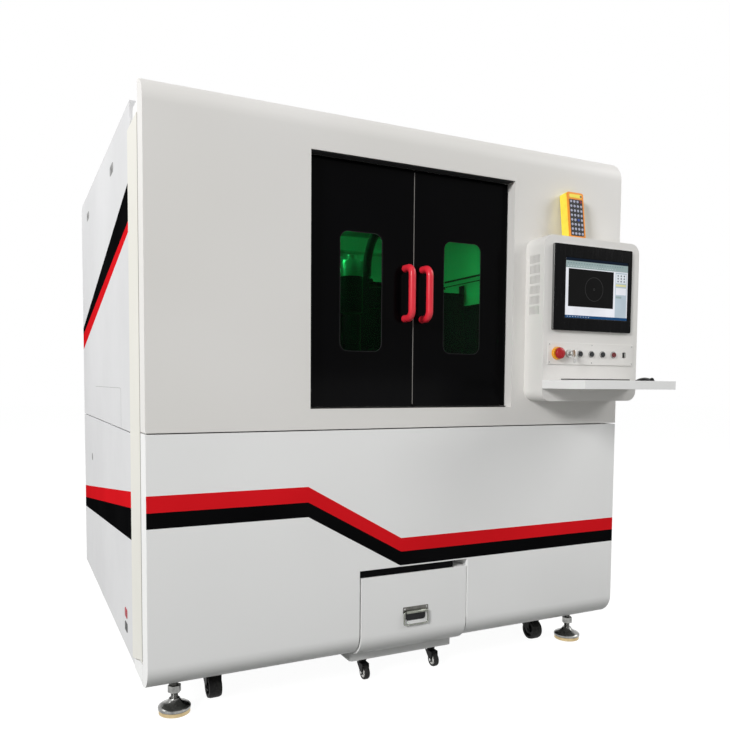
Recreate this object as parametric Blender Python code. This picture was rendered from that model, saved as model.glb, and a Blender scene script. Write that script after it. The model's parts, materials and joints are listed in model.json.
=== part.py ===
"""Fibre laser cutting machine: enclosure, granite bed, gantry, console and scrap cart.

X runs to the right as the operator faces the machine, Y runs into the machine and Z is up.
The origin is on the floor, under the centre of the machine's overall box. Units are metres.
"""
import math

import bmesh
import bpy
from mathutils import Matrix, Vector

# Fits
TOUCH = 0.0003                # air left between two solids that rest on each other
RUNNING = 0.0004              # radial air of a pin or plug that turns or slides
SHEET = 0.003                 # folded sheet steel
SEAM = 0.004                  # open joint between neighbouring panels

# Enclosure
BODY_WIDTH = 1.774
BODY_DEPTH = 1.800
BODY_TOP = 1.880
BODY_BOTTOM = 0.120
FRONT_SEAM_Z = 0.876
SIDE_SEAM_Z = 0.862
SHELL_DEPTH = 0.082           # how far the front shells wrap round the sides
SHELL_ROLL = 0.078            # outer radius of the rolled top and bottom edges
SHELL_LIP = 0.030
PILLAR_RECESS = 0.012
PILLAR_REVEAL = 0.006         # dark groove between front shell and pillar
PILLAR_TOE_Z = 0.149
SIDE_PANEL_START = 0.242      # behind the front face
PAN_DEPTH = 0.025             # fold depth of side, back and roof panels
PANEL_RECESS = 0.0025         # side and back panels sit this far inside the shell's faces
REAR_ROLL = 0.050
REAR_SKIRT = 0.030

# Welded frame
TUBE = 0.080
SILL_RISE = 0.005             # sills sit this far above the enclosure's lower edge
SILL_PLATE_WIDTH = 0.165
BAY_CLEARANCE = 0.030         # from the cart opening to the frame beside it
BED_BEAM_FRONT = 0.300
BED_BEAM_REAR = 1.300

# Doors
DOOR_OPENING_WIDTH = 0.772
DOOR_OPENING_HEIGHT = 0.796
DOOR_SILL_Z = 0.943
DOOR_RECESS = 0.037
DOOR_THICKNESS = 0.025
DOOR_EDGE_GAP = 0.005
DOOR_MEETING_GAP = 0.004
HINGE_FROM_EDGE = 0.006       # pivot in from the leaf's outer edge
HINGE_FROM_FACE = 0.006       # pivot behind the leaf's face
HINGE_PIN = 0.005
HINGE_COLLAR = 0.008
HINGE_PIN_ENTRY = 0.001       # how far the pin shows inside the leaf's return
DOOR_SEAL_AIR = 0.0015        # between closed leaf and stop frame
STOP_LAP = 0.016              # how far the stop frame reaches in behind the doors
STOP_WIDTH = 0.040
STOP_THICKNESS = 0.012
WINDOW_WIDTH = 0.153
WINDOW_HEIGHT = 0.385
WINDOW_OFFSET = 0.195
WINDOW_CENTRE_Z = 1.3205
WINDOW_RADIUS = 0.028
PANE_LAP = 0.012
PANE_THICKNESS = 0.005
HANDLE_OFFSET = 0.0335
HANDLE_CENTRE_Z = 1.324
HANDLE_LENGTH = 0.190
HANDLE_DIAMETER = 0.024
HANDLE_STANDOFF = 0.050
HANDLE_BEND = 0.026

# Scrap cart
CART_OPENING_WIDTH = 0.4206
CART_OPENING_TOP = 0.4104
CART_SIDE_GAP = 0.005
CART_TOP = 0.386
CART_BOTTOM = 0.112
CART_LENGTH = 0.900
CART_BASE_SETBACK = 0.090
CART_BASE_BOTTOM = 0.075
CART_BASE_TOP = 0.108
CART_BASE_INSET = 0.002
BIN_TOP = 0.340
BAIL_PLATE_WIDTH = 0.097
BAIL_PLATE_TOP = 0.270
BAIL_PLATE_SHOULDER = 0.249
BAIL_PLATE_BOTTOM = 0.223
BAIL_PLATE_CHAMFER = 0.006
BAIL_PLATE_THICKNESS = 0.002
BAIL_BARREL_Z = 0.2525
BAIL_BARREL_RADIUS = 0.0055
BAIL_BARREL_LENGTH = 0.077
BAIL_WIRE = 0.005
BAIL_DROP = 0.0435
BAIL_BEND = 0.006
BAIL_HOLE_DEPTH = 0.008

# Casters: wheel diameter, tread width, trail behind the swivel
CART_WHEEL = 0.050
CART_TREAD = 0.018
CART_TRAIL = 0.020
CART_CASTER_X = 0.139
CART_CASTER_FRONT = 0.125
CART_CASTER_REAR_INSET = 0.122
CART_FLOOR_AIR = 0.001
MACHINE_WHEEL = 0.075
MACHINE_TREAD = 0.038
MACHINE_TRAIL = 0.030
MACHINE_CASTER_SIDE_INSET = 0.237
MACHINE_CASTER_INSET = 0.210
MACHINE_FLOOR_AIR = 0.003
AXLE_DIAMETER = 0.008
CHEEK = 0.003

# Levelling feet
FOOT_SIDE_INSET = 0.102
FOOT_INSET = 0.130
FOOT_PAD = 0.100
FOOT_STUD = 0.022
FOOT_NUT = 0.036
FOOT_NUT_HEIGHT = 0.022
FOOT_NUT_BOTTOM = 0.068
FOOT_COLLAR = 0.034
FOOT_COLLAR_HEIGHT = 0.012

# Granite bed and motion
BED_WIDTH = 1.300
BED_LENGTH = 1.230
BED_START = 0.220
BED_TOP = 0.930
BED_THICKNESS = 0.150
CHUTE_WIDTH = 0.400
CHUTE_LENGTH = 0.500
WORK_DEPTH = 0.620            # centre of the work area behind the front face
RAIL_SPACING = 1.120
RAIL_SIZE = 0.028
RAIL_LENGTH = 1.150
FIXTURE_WIDTH = 0.700
FIXTURE_LENGTH = 0.620
FIXTURE_BAR = 0.060
FIXTURE_HEIGHT = 0.032
GANTRY_DEPTH = 0.140
GANTRY_SETBACK = 0.720
GANTRY_LEG = 0.100
GANTRY_BEAM_BOTTOM = 1.100
GANTRY_BEAM_TOP = 1.427
RUNNER_LAP = 0.020
X_RAIL_SIZE = 0.022
X_RAIL_PITCH = 0.170
CARRIAGE_X = 0.005
CARRIAGE_WIDTH = 0.220
CARRIAGE_BOTTOM = 1.070
CARRIAGE_TOP = 1.467
CARRIAGE_PLATE = 0.020
SADDLE_AIR = 0.008            # under the carriage's saddle, above the beam
CONDUIT_DIAMETER = 0.038
CONDUIT_X = 0.100             # first foot of the conduit's arch, right of the carriage's middle
CONDUIT_SPAN = 0.145
CONDUIT_RISE = 0.173
CONDUIT_BEND = 0.060
HEAD_DIAMETER = 0.074
COLLIMATOR_DIAMETER = 0.090
COLLIMATOR_BOTTOM = 1.305
NOZZLE_AIR = 0.060            # nozzle tip above the clamped sheet
HEAD_TOP = 1.530
HEAD_BODY_BOTTOM = 1.120
HEAD_SLIDE_WIDTH = 0.060
HEAD_SLIDE_DEPTH = 0.030

# Laser source in the lower cabinet
SOURCE_WIDTH = 0.482
SOURCE_DEPTH = 0.600
SOURCE_HEIGHT = 0.176
SOURCE_START = 0.690
SOURCE_HANDLE = 0.012
SOURCE_BEARER_INSET = 0.070   # from the source's ends to the cross-members under it

# Console
CONSOLE_SIDE_INSET = 0.002    # in from the machine's right side
CONSOLE_WIDTH = 0.4445
CONSOLE_TOP = 1.545
CONSOLE_BOTTOM = 0.966
CONSOLE_DEPTH = 0.100
CONSOLE_RADIUS = 0.038
MONITOR_INSET = 0.0355        # from the console's left edge
MONITOR_WIDTH = 0.365
MONITOR_HEIGHT = 0.300
MONITOR_TOP = 1.5155
MONITOR_PROUD = 0.010
MONITOR_BACK_INSET = 0.024
MONITOR_BACK_DEPTH = 0.045
SCREEN_WIDTH = 0.300
SCREEN_HEIGHT = 0.212
SCREEN_OFFSET = 0.0155         # the picture sits right of the bezel's middle
SCREEN_SINK = 0.002
PLATE_INSET = 0.0205          # from the console's left edge
PLATE_WIDTH = 0.401
PLATE_TOP = 1.173
PLATE_HEIGHT = 0.077
PLATE_THICKNESS = 0.003
PLATE_BACK_INSET = 0.014
STATION_INSET = 0.039         # from the plate's left edge to the first station
STATION_PITCH = 0.053
STATION_Z = 1.1345
BUTTON_DIAMETER = 0.018
BUTTON_PROUD = 0.0045
BUTTON_TRAVEL = 0.003
BUTTON_FLANGE = 0.003
BUTTON_RING_WIDTH = 0.003
BUTTON_RING_HEIGHT = 0.003
ESTOP_HEAD = 0.040
ESTOP_STEM = 0.020
ESTOP_TRAVEL = 0.004
ESTOP_COLLAR = 0.044
ESTOP_COLLAR_HEIGHT = 0.010
KEY_BARREL = 0.028
KEY_BARREL_HEIGHT = 0.012
KEY_PLUG = 0.014
KEY_BOW = 0.024
PORT_WIDTH = 0.010
PORT_HEIGHT = 0.017
VENT_ROWS = 6
VENT_COLUMNS = 8
VENT_TOP = 1.478
VENT_BOTTOM = 1.272
VENT_FRONT = 0.024            # from the console's back to the first slot column
VENT_SPAN = 0.051
VENT_SLOT_WIDTH = 0.003
VENT_ROW_GAP = 0.008

# Tray, mouse and remote
TRAY_INSET = 0.032            # in from the console's right edge
TRAY_OVERHANG = 0.2115
TRAY_TOP = 1.0395
TRAY_HEIGHT = 0.029
MOUSE_INSET = 0.069           # in from the tray's right edge
MOUSE_DEPTH = 0.240           # in front of the machine's face
MOUSE_WIDTH = 0.062
MOUSE_LENGTH = 0.110
MOUSE_HEIGHT = 0.038
REMOTE_INSET = 0.1440         # from the console's left edge
REMOTE_WIDTH = 0.0765
REMOTE_DEPTH = 0.043
REMOTE_HEIGHT = 0.170
REMOTE_RADIUS = 0.010
REMOTE_LEAN = 7.0             # degrees; its top rests against the front shell

# Facets
ROLL_SEGMENTS = 8
CORNER_SEGMENTS = 5
WHEEL_SEGMENTS = 16
TURNED_SEGMENTS = 16

HALF_WIDTH = BODY_WIDTH / 2
FRONT_Y = (CONSOLE_DEPTH + TRAY_OVERHANG - BODY_DEPTH) / 2
PILLAR_OUTER = HALF_WIDTH - PILLAR_RECESS
FRAME_OUTER = HALF_WIDTH - PAN_DEPTH - TOUCH
SILL_BOTTOM = BODY_BOTTOM + SILL_RISE
SILL_TOP = SILL_BOTTOM + TUBE
BED_BOTTOM = BED_TOP - BED_THICKNESS
BEAM_TOP = BED_BOTTOM - TOUCH
BEAM_BOTTOM = BEAM_TOP - TUBE
RING_TOP = BODY_TOP - PAN_DEPTH - TOUCH
FRAME_REAR = BODY_DEPTH - PAN_DEPTH - TOUCH
BAY_HALF = CART_OPENING_WIDTH / 2 + BAY_CLEARANCE
CART_HALF = CART_OPENING_WIDTH / 2 - CART_SIDE_GAP
CART_CASTER_REAR = SHELL_DEPTH + CART_LENGTH - CART_CASTER_REAR_INSET
FOOT_X = HALF_WIDTH - FOOT_SIDE_INSET
MACHINE_CASTER_X = HALF_WIDTH - MACHINE_CASTER_SIDE_INSET
CONSOLE_RIGHT = HALF_WIDTH - CONSOLE_SIDE_INSET
CONSOLE_LEFT = CONSOLE_RIGHT - CONSOLE_WIDTH
MONITOR_LEFT = CONSOLE_LEFT + MONITOR_INSET
PLATE_LEFT = CONSOLE_LEFT + PLATE_INSET
STATION_FIRST_X = PLATE_LEFT + STATION_INSET
TRAY_RIGHT = CONSOLE_RIGHT - TRAY_INSET
MOUSE_X = TRAY_RIGHT - MOUSE_INSET
REMOTE_LEFT = CONSOLE_LEFT + REMOTE_INSET
CONSOLE_FACE = -CONSOLE_DEPTH
TRAY_FRONT = CONSOLE_FACE - TRAY_OVERHANG
FIXTURE_TOP = BED_TOP + TOUCH + FIXTURE_HEIGHT

FINISHES = {
    "white_paint": ((0.82, 0.82, 0.80), 0.38, 0.0),
    "frame_paint": ((0.78, 0.77, 0.74), 0.45, 0.0),
    "black_paint": ((0.012, 0.012, 0.013), 0.35, 0.0),
    "red_paint": ((0.72, 0.02, 0.03), 0.35, 0.0),
    "granite": ((0.07, 0.07, 0.075), 0.30, 0.0),
    "window": ((0.10, 0.45, 0.16), 0.08, 0.0),
    "machined_steel": ((0.60, 0.60, 0.61), 0.30, 1.0),
    "anodised": ((0.70, 0.71, 0.72), 0.35, 1.0),
    "black_plastic": ((0.02, 0.02, 0.02), 0.45, 0.0),
    "dark_steel": ((0.20, 0.20, 0.19), 0.40, 1.0),
    "red_plastic": ((0.70, 0.02, 0.02), 0.30, 0.0),
    "yellow_plastic": ((0.90, 0.62, 0.02), 0.40, 0.0),
    "tyre": ((0.03, 0.03, 0.03), 0.60, 0.0),
    "zinc": ((0.66, 0.66, 0.64), 0.32, 1.0),
}


def y_at(depth):
    """World Y of a plane this far behind the machine's front face."""
    return FRONT_Y + depth


def finish(name):
    """The material of that name, made once."""
    found = bpy.data.materials.get(name)
    if found:
        return found
    colour, roughness, metallic = FINISHES[name]
    made = bpy.data.materials.new(name)
    made.use_nodes = True
    shader = made.node_tree.nodes["Principled BSDF"]
    shader.inputs["Base Color"].default_value = (*colour, 1.0)
    shader.inputs["Roughness"].default_value = roughness
    shader.inputs["Metallic"].default_value = metallic
    return made


def attach(child, parent):
    """Parent child to parent where both stand."""
    child.parent = parent
    child.matrix_parent_inverse = Matrix.Translation(-parent.location)


def pivot_empty(name, location, parent=None):
    """An empty on a joint's axis."""
    empty = bpy.data.objects.new(name, None)
    empty.empty_display_size = 0.05
    empty.location = location
    bpy.context.collection.objects.link(empty)
    if parent:
        attach(empty, parent)
    return empty


def solid(name, mesh_builder, finish_name, origin=(0, 0, 0), parent=None, smooth=None):
    """Turn a bmesh drawn in world coordinates into an object with its own origin."""
    bmesh.ops.recalc_face_normals(mesh_builder, faces=mesh_builder.faces)
    bmesh.ops.translate(mesh_builder, verts=mesh_builder.verts, vec=-Vector(origin))
    mesh = bpy.data.meshes.new(name)
    mesh_builder.to_mesh(mesh)
    mesh_builder.free()
    if smooth is not None:
        mesh.shade_smooth()
        mesh.set_sharp_from_angle(angle=math.radians(smooth))
    made = bpy.data.objects.new(name, mesh)
    made.location = origin
    mesh.materials.append(finish(finish_name))
    bpy.context.collection.objects.link(made)
    if parent:
        attach(made, parent)
    return made


def combine(target, tool, operation):
    """Cut the target with the tool, or weld the tool to it, and keep the tool as a guide."""
    modifier = target.modifiers.new(tool.name, "BOOLEAN")
    modifier.operation = operation
    modifier.solver = "EXACT"
    modifier.object = tool
    tool.hide_render = True
    tool.display_type = "WIRE"
    attach(tool, target)
    return target


def cut(target, tool_mesh):
    """Subtract a bmesh drawn in world coordinates."""
    tool = solid(target.name + "_cut", tool_mesh, "frame_paint", target.location)
    return combine(target, tool, "DIFFERENCE")


def weld(target, tool_mesh):
    """Add a bmesh drawn in world coordinates."""
    tool = solid(target.name + "_add", tool_mesh, "frame_paint", target.location)
    return combine(target, tool, "UNION")


def block(low, high):
    """A box between two corners; depths are measured behind the front face."""
    made = bmesh.new()
    bmesh.ops.create_cube(made, size=1.0)
    ends = ((low[0], y_at(low[1]), low[2]), (high[0], y_at(high[1]), high[2]))
    for vert in made.verts:
        vert.co = [ends[vert.co[i] > 0][i] for i in range(3)]
    return made


def prism(outline, axis, low, high):
    """Extrude a closed outline along X, Y or Z.

    The outline is (depth, z) for X, (x, z) for Y and (x, depth) for Z, and the limits of a
    prism along Y are depths.
    """
    made = bmesh.new()
    if axis == "X":
        ring = [(low, y_at(depth), z) for depth, z in outline]
        step = Vector((high - low, 0, 0))
    elif axis == "Y":
        ring = [(x, y_at(low), z) for x, z in outline]
        step = Vector((0, high - low, 0))
    else:
        ring = [(x, y_at(depth), low) for x, depth in outline]
        step = Vector((0, 0, high - low))
    face = made.faces.new([made.verts.new(point) for point in ring])
    grown = bmesh.ops.extrude_face_region(made, geom=[face])
    moved = [item for item in grown["geom"] if isinstance(item, bmesh.types.BMVert)]
    bmesh.ops.translate(made, verts=moved, vec=step)
    return made


def turned(profile, centre, axis, segments):
    """Spin a closed profile of (radius, distance) points about an axis through centre."""
    directions = {"X": Vector((1, 0, 0)), "Y": Vector((0, 1, 0)), "Z": Vector((0, 0, 1))}
    along = directions[axis]
    outward = directions["Z"] if axis != "Z" else directions["X"]
    start = Vector((centre[0], y_at(centre[1]), centre[2]))
    made = bmesh.new()
    points = [made.verts.new(start + outward * radius + along * far) for radius, far in profile]
    edges = [made.edges.new((a, b)) for a, b in zip(points, points[1:])]
    if profile[0][0] > 0:
        edges.append(made.edges.new((points[-1], points[0])))
    bmesh.ops.spin(made, geom=points + edges, cent=start, axis=along, dvec=(0, 0, 0),
                   angle=2 * math.pi, steps=segments, use_merge=True)
    bmesh.ops.remove_doubles(made, verts=made.verts, dist=1e-6)
    return made


def gather(pieces):
    """Put separate pieces into one bmesh."""
    made = bmesh.new()
    for piece in pieces:
        spare = bpy.data.meshes.new("piece")
        bmesh.ops.recalc_face_normals(piece, faces=piece.faces)
        piece.to_mesh(spare)
        piece.free()
        made.from_mesh(spare)
        bpy.data.meshes.remove(spare)
    return made


def arc(centre, radius, start, end, segments):
    """Points on an arc, angles in degrees."""
    angles = [math.radians(start + (end - start) * i / segments) for i in range(segments + 1)]
    return [(centre[0] + radius * math.cos(a), centre[1] + radius * math.sin(a)) for a in angles]


def rounded_rectangle(left, low, right, high, radius, segments=CORNER_SEGMENTS):
    """Outline of a rectangle with four equal round corners."""
    points = arc((right - radius, high - radius), radius, 0, 90, segments)
    points += arc((left + radius, high - radius), radius, 90, 180, segments)
    points += arc((left + radius, low + radius), radius, 180, 270, segments)
    points += arc((right - radius, low + radius), radius, 270, 360, segments)
    return points


def fillet(points, radius, segments):
    """Round the inner corners of an open path of 3-D points."""
    path = [Vector(points[0])]
    for before, corner, after in zip(points, points[1:], points[2:]):
        corner = Vector(corner)
        back = (Vector(before) - corner).normalized()
        on = (Vector(after) - corner).normalized()
        reach = radius / math.tan(back.angle(on) / 2)
        middle = corner + (back + on).normalized() * math.hypot(radius, reach)
        first = corner + back * reach - middle
        last = corner + on * reach - middle
        path += [middle + first.slerp(last, i / segments) * radius for i in range(segments + 1)]
    path.append(Vector(points[-1]))
    return path


def hose(path, diameter, sides):
    """Closed tube mesh along a path that stays at one depth, given as (x, depth, z) points."""
    points = [Vector((place[0], y_at(place[1]), place[2])) for place in path]
    across = Vector((0, 1, 0))
    made = bmesh.new()
    rings = []
    for i, point in enumerate(points):
        along = (points[min(i + 1, len(points) - 1)] - points[max(i - 1, 0)]).normalized()
        other = along.cross(across)
        angles = [2 * math.pi * k / sides for k in range(sides)]
        rings.append([made.verts.new(point + (across * math.cos(a) + other * math.sin(a))
                                     * diameter / 2) for a in angles])
    for ring, following in zip(rings, rings[1:]):
        for k in range(sides):
            j = (k + 1) % sides
            made.faces.new((ring[k], ring[j], following[j], following[k]))
    made.faces.new(rings[0])
    made.faces.new(rings[-1])
    return made


def bent_bar(name, path, diameter, finish_name, origin, parent, sides=4):
    """A round bar swept along a path of 3-D points whose second value is a depth."""
    curve = bpy.data.curves.new(name, "CURVE")
    curve.dimensions = "3D"
    curve.bevel_depth = diameter / 2
    curve.bevel_resolution = sides
    curve.use_fill_caps = True
    spline = curve.splines.new("POLY")
    spline.points.add(len(path) - 1)
    for point, place in zip(spline.points, path):
        point.co = (place[0] - origin[0], y_at(place[1]) - origin[1], place[2] - origin[2], 1.0)
    made = bpy.data.objects.new(name, curve)
    made.location = origin
    curve.materials.append(finish(finish_name))
    bpy.context.collection.objects.link(made)
    closing = made.modifiers.new("close_caps", "WELD")
    closing.merge_threshold = 0.00005
    attach(made, parent)
    return made


def shell_outline(low, high, roll_low, roll_high, depth, inset=0.0):
    """Side profile of a front shell, with its rolled edges, moved in by the inset."""
    points = [(depth - inset, low + inset)]
    if roll_low:
        points += arc((roll_low, low + roll_low), roll_low - inset, 270, 180, ROLL_SEGMENTS)
    else:
        points.append((inset, low + inset))
    if roll_high:
        points += arc((roll_high, high - roll_high), roll_high - inset, 180, 90, ROLL_SEGMENTS)
    else:
        points.append((inset, high - inset))
    points.append((depth - inset, high - inset))
    return points


def front_shell(name, half, low, high, roll_low, roll_high, depth, parent=None, origin=(0, 0, 0)):
    """A folded front with returns and inward lips, open at the back."""
    outline = shell_outline(low, high, roll_low, roll_high, depth)
    hollow = shell_outline(low, high, roll_low, roll_high, depth, SHEET)
    made = solid(name, prism(outline, "X", -half, half), "white_paint", origin, parent, 30)
    cut(made, prism(hollow, "X", SHEET - half, half - SHEET))
    cut(made, block((SHELL_LIP - half, depth - 2 * SHEET, low + SHELL_LIP),
                    (half - SHELL_LIP, depth + SHEET, high - SHELL_LIP)))
    return made


def upper_front():
    """Upper front shell with the reveal round the door opening."""
    half = DOOR_OPENING_WIDTH / 2
    top = DOOR_SILL_Z + DOOR_OPENING_HEIGHT
    reveal = DOOR_RECESS + DOOR_THICKNESS + DOOR_SEAL_AIR
    made = front_shell("upper_front_panel", HALF_WIDTH, FRONT_SEAM_Z + SEAM / 2, BODY_TOP,
                       0, SHELL_ROLL, SHELL_DEPTH)
    weld(made, block((-half - SHEET, 0, DOOR_SILL_Z - SHEET), (half + SHEET, reveal, top + SHEET)))
    cut(made, block((-half, -SHEET, DOOR_SILL_Z), (half, reveal + SHEET, top)))
    weld(made, gather([hinge_pin(side, up) for side in (-1, 1) for up in (-1, 1)]))
    return made


def hinge_pin(side, up):
    """Fixed pin of a door pivot, on the upper or lower reveal, with the lower one's collar."""
    x = side * (DOOR_OPENING_WIDTH / 2 - DOOR_EDGE_GAP - HINGE_FROM_EDGE)
    depth = DOOR_RECESS + HINGE_FROM_FACE
    seat = DOOR_SILL_Z + DOOR_OPENING_HEIGHT if up > 0 else DOOR_SILL_Z
    tip = DOOR_EDGE_GAP + SHEET + HINGE_PIN_ENTRY
    shoulder = DOOR_EDGE_GAP - (TOUCH if up < 0 else 2 * TOUCH)
    profile = [(0, up * SHEET / 2), (HINGE_COLLAR / 2, up * SHEET / 2),
               (HINGE_COLLAR / 2, -up * shoulder), (HINGE_PIN / 2, -up * shoulder),
               (HINGE_PIN / 2, -up * tip), (0, -up * tip)]
    return turned(profile, (x, depth, seat), "Z", 12)


def lower_front():
    """Lower front shell with the cart opening, open at the bottom."""
    half = CART_OPENING_WIDTH / 2
    made = front_shell("lower_front_panel", HALF_WIDTH, BODY_BOTTOM, FRONT_SEAM_Z - SEAM / 2,
                       SHELL_ROLL, 0, SHELL_DEPTH)
    jamb = shell_outline(BODY_BOTTOM, CART_OPENING_TOP + SHEET, SHELL_ROLL, 0, SHELL_DEPTH)
    weld(made, prism(jamb, "X", -half - SHEET, half + SHEET))
    cut(made, block((-half, -SHEET, BODY_BOTTOM - SHEET),
                    (half, SHELL_DEPTH + SHEET, CART_OPENING_TOP)))
    return made


def side_outline(low, high, roll, inset=0.0):
    """Outline of a side panel, with the rear top corner rounded by roll."""
    rear = BODY_DEPTH - inset
    points = [(SIDE_PANEL_START + inset, low + inset), (rear, low + inset)]
    if roll:
        points += arc((BODY_DEPTH - roll, high - roll), roll - inset, 0, 90, ROLL_SEGMENTS)
    else:
        points.append((rear, high - inset))
    points.append((SIDE_PANEL_START + inset, high - inset))
    return points


def side_panel(name, side, low, high, roll):
    """A folded side panel, open towards the frame."""
    near = HALF_WIDTH - PAN_DEPTH
    outer = HALF_WIDTH - PANEL_RECESS
    limits = sorted((side * near, side * outer))
    made = solid(name, prism(side_outline(low, high, roll), "X", *limits), "white_paint", smooth=30)
    hollow = sorted((side * (near - SHEET), side * (outer - SHEET)))
    return cut(made, prism(side_outline(low, high, roll, SHEET), "X", *hollow))


def back_panel(name, low, high):
    """A folded back panel between the side panels."""
    half = HALF_WIDTH - PAN_DEPTH - TOUCH
    rear = BODY_DEPTH - PANEL_RECESS
    made = solid(name, block((-half, BODY_DEPTH - PAN_DEPTH, low), (half, rear, high)),
                 "white_paint")
    return cut(made, block((SHEET - half, BODY_DEPTH - 2 * PAN_DEPTH, low + SHEET),
                           (half - SHEET, rear - SHEET, high - SHEET)))


def roof_outline(inset=0.0, floor=0.0):
    """Side profile of the roof, rolled down at the rear."""
    front = SHELL_DEPTH + TOUCH
    points = [(front + inset, BODY_TOP - PAN_DEPTH - floor), (front + inset, BODY_TOP - inset)]
    points += arc((BODY_DEPTH - REAR_ROLL, BODY_TOP - REAR_ROLL), REAR_ROLL - inset, 90, 0,
                  ROLL_SEGMENTS)
    points += [(BODY_DEPTH - inset, BODY_TOP - REAR_ROLL - REAR_SKIRT - floor),
               (BODY_DEPTH - PAN_DEPTH, BODY_TOP - REAR_ROLL - REAR_SKIRT - floor),
               (BODY_DEPTH - PAN_DEPTH, BODY_TOP - PAN_DEPTH - floor)]
    return points


def roof():
    """The roof pan with its rolled rear edge."""
    half = HALF_WIDTH - PAN_DEPTH - TOUCH
    made = solid("roof_panel", prism(roof_outline(), "X", -half, half), "white_paint", smooth=30)
    return cut(made, prism(roof_outline(SHEET, SHEET), "X", SHEET - half, half - SHEET))


def enclosure():
    """Sheet-metal skins of the machine."""
    upper_front()
    lower_front()
    for side, word in ((-1, "left"), (1, "right")):
        side_panel(word + "_lower_panel", side, BODY_BOTTOM, SIDE_SEAM_Z - SEAM / 2, 0)
        side_panel(word + "_upper_panel", side, SIDE_SEAM_Z + SEAM / 2, BODY_TOP, REAR_ROLL)
    back_panel("back_lower_panel", BODY_BOTTOM, SIDE_SEAM_Z - SEAM / 2)
    back_panel("back_upper_panel", SIDE_SEAM_Z + SEAM / 2, BODY_TOP - REAR_ROLL - REAR_SKIRT - SEAM)
    roof()


def base_frame():
    """Welded frame: sills, pillars, bed beams and top ring, with toes flush to the skins."""
    shell_back = SHELL_DEPTH + TOUCH
    inner = FRAME_OUTER - TUBE
    pillar_front = SHELL_DEPTH + PILLAR_REVEAL
    pillar_rear = SIDE_PANEL_START - TOUCH
    sill_front_rear = shell_back + SILL_PLATE_WIDTH
    sill_rear_front = FRAME_REAR - SILL_PLATE_WIDTH
    made = solid("base_frame", block((-FRAME_OUTER, sill_rear_front, SILL_BOTTOM),
                                     (FRAME_OUTER, FRAME_REAR, SILL_TOP)), "frame_paint")
    bars = []
    for level_low, level_high in ((BEAM_BOTTOM, BEAM_TOP), (RING_TOP - TUBE, RING_TOP)):
        bars.append(((-FRAME_OUTER, FRAME_REAR - TUBE, level_low),
                     (FRAME_OUTER, FRAME_REAR, level_high)))
    bars.append(((-FRAME_OUTER, shell_back, RING_TOP - TUBE),
                 (FRAME_OUTER, shell_back + TUBE, RING_TOP)))
    for start in (BED_BEAM_FRONT, BED_BEAM_REAR):
        bars.append(((-FRAME_OUTER, start, BEAM_BOTTOM), (FRAME_OUTER, start + TUBE, BEAM_TOP)))
    for side in (-1, 1):
        outer = side * FRAME_OUTER
        bars.append(((outer, shell_back, SILL_BOTTOM), (side * inner, FRAME_REAR, SILL_TOP)))
        bars.append(((outer, shell_back, BEAM_BOTTOM), (side * inner, FRAME_REAR, BEAM_TOP)))
        bars.append(((outer, shell_back, RING_TOP - TUBE), (side * inner, FRAME_REAR, RING_TOP)))
        bars.append(((outer, FRAME_REAR - TUBE, SILL_BOTTOM), (side * inner, FRAME_REAR, RING_TOP)))
        bars.append(((outer, shell_back, SILL_BOTTOM), (side * inner, pillar_rear, RING_TOP)))
        bars.append(((side * PILLAR_OUTER, pillar_front, SILL_BOTTOM),
                     (side * inner, pillar_rear, RING_TOP)))
        bars.append(((side * (HALF_WIDTH - TOUCH), pillar_front, BODY_BOTTOM + TOUCH),
                     (side * (FRAME_OUTER - 2 * SHEET), pillar_rear, PILLAR_TOE_Z)))
        bars.append(((outer, shell_back, SILL_BOTTOM), (side * BAY_HALF, sill_front_rear, SILL_TOP)))
        bars.append(((side * BAY_HALF, shell_back, SILL_BOTTOM),
                     (side * (BAY_HALF + TUBE), FRAME_REAR, SILL_TOP)))
        for start in (BED_BEAM_FRONT, BED_BEAM_REAR):
            bars.append(((side * BAY_HALF, start, SILL_BOTTOM),
                         (side * (BAY_HALF + TUBE), start + TUBE, BEAM_TOP)))
    for start in (SOURCE_START + SOURCE_BEARER_INSET,
                  SOURCE_START + SOURCE_DEPTH - SOURCE_BEARER_INSET - TUBE):
        bars.append(((BAY_HALF, start, SILL_BOTTOM), (FRAME_OUTER, start + TUBE, SILL_TOP)))
    for first, second in bars:
        low = [min(a, b) for a, b in zip(first, second)]
        high = [max(a, b) for a, b in zip(first, second)]
        weld(made, block(low, high))
    return made


def door_stop():
    """The frame behind the door opening, which the doors close against."""
    front = DOOR_RECESS + DOOR_THICKNESS + DOOR_SEAL_AIR + TOUCH
    half = DOOR_OPENING_WIDTH / 2 - STOP_LAP
    low = DOOR_SILL_Z + STOP_LAP
    high = DOOR_SILL_Z + DOOR_OPENING_HEIGHT - STOP_LAP
    made = solid("door_frame", block((-half - STOP_WIDTH, front, low - STOP_WIDTH),
                                     (half + STOP_WIDTH, front + STOP_THICKNESS,
                                      high + STOP_WIDTH)), "frame_paint")
    return cut(made, block((-half, front - SHEET, low),
                           (half, front + STOP_THICKNESS + SHEET, high)))


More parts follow.
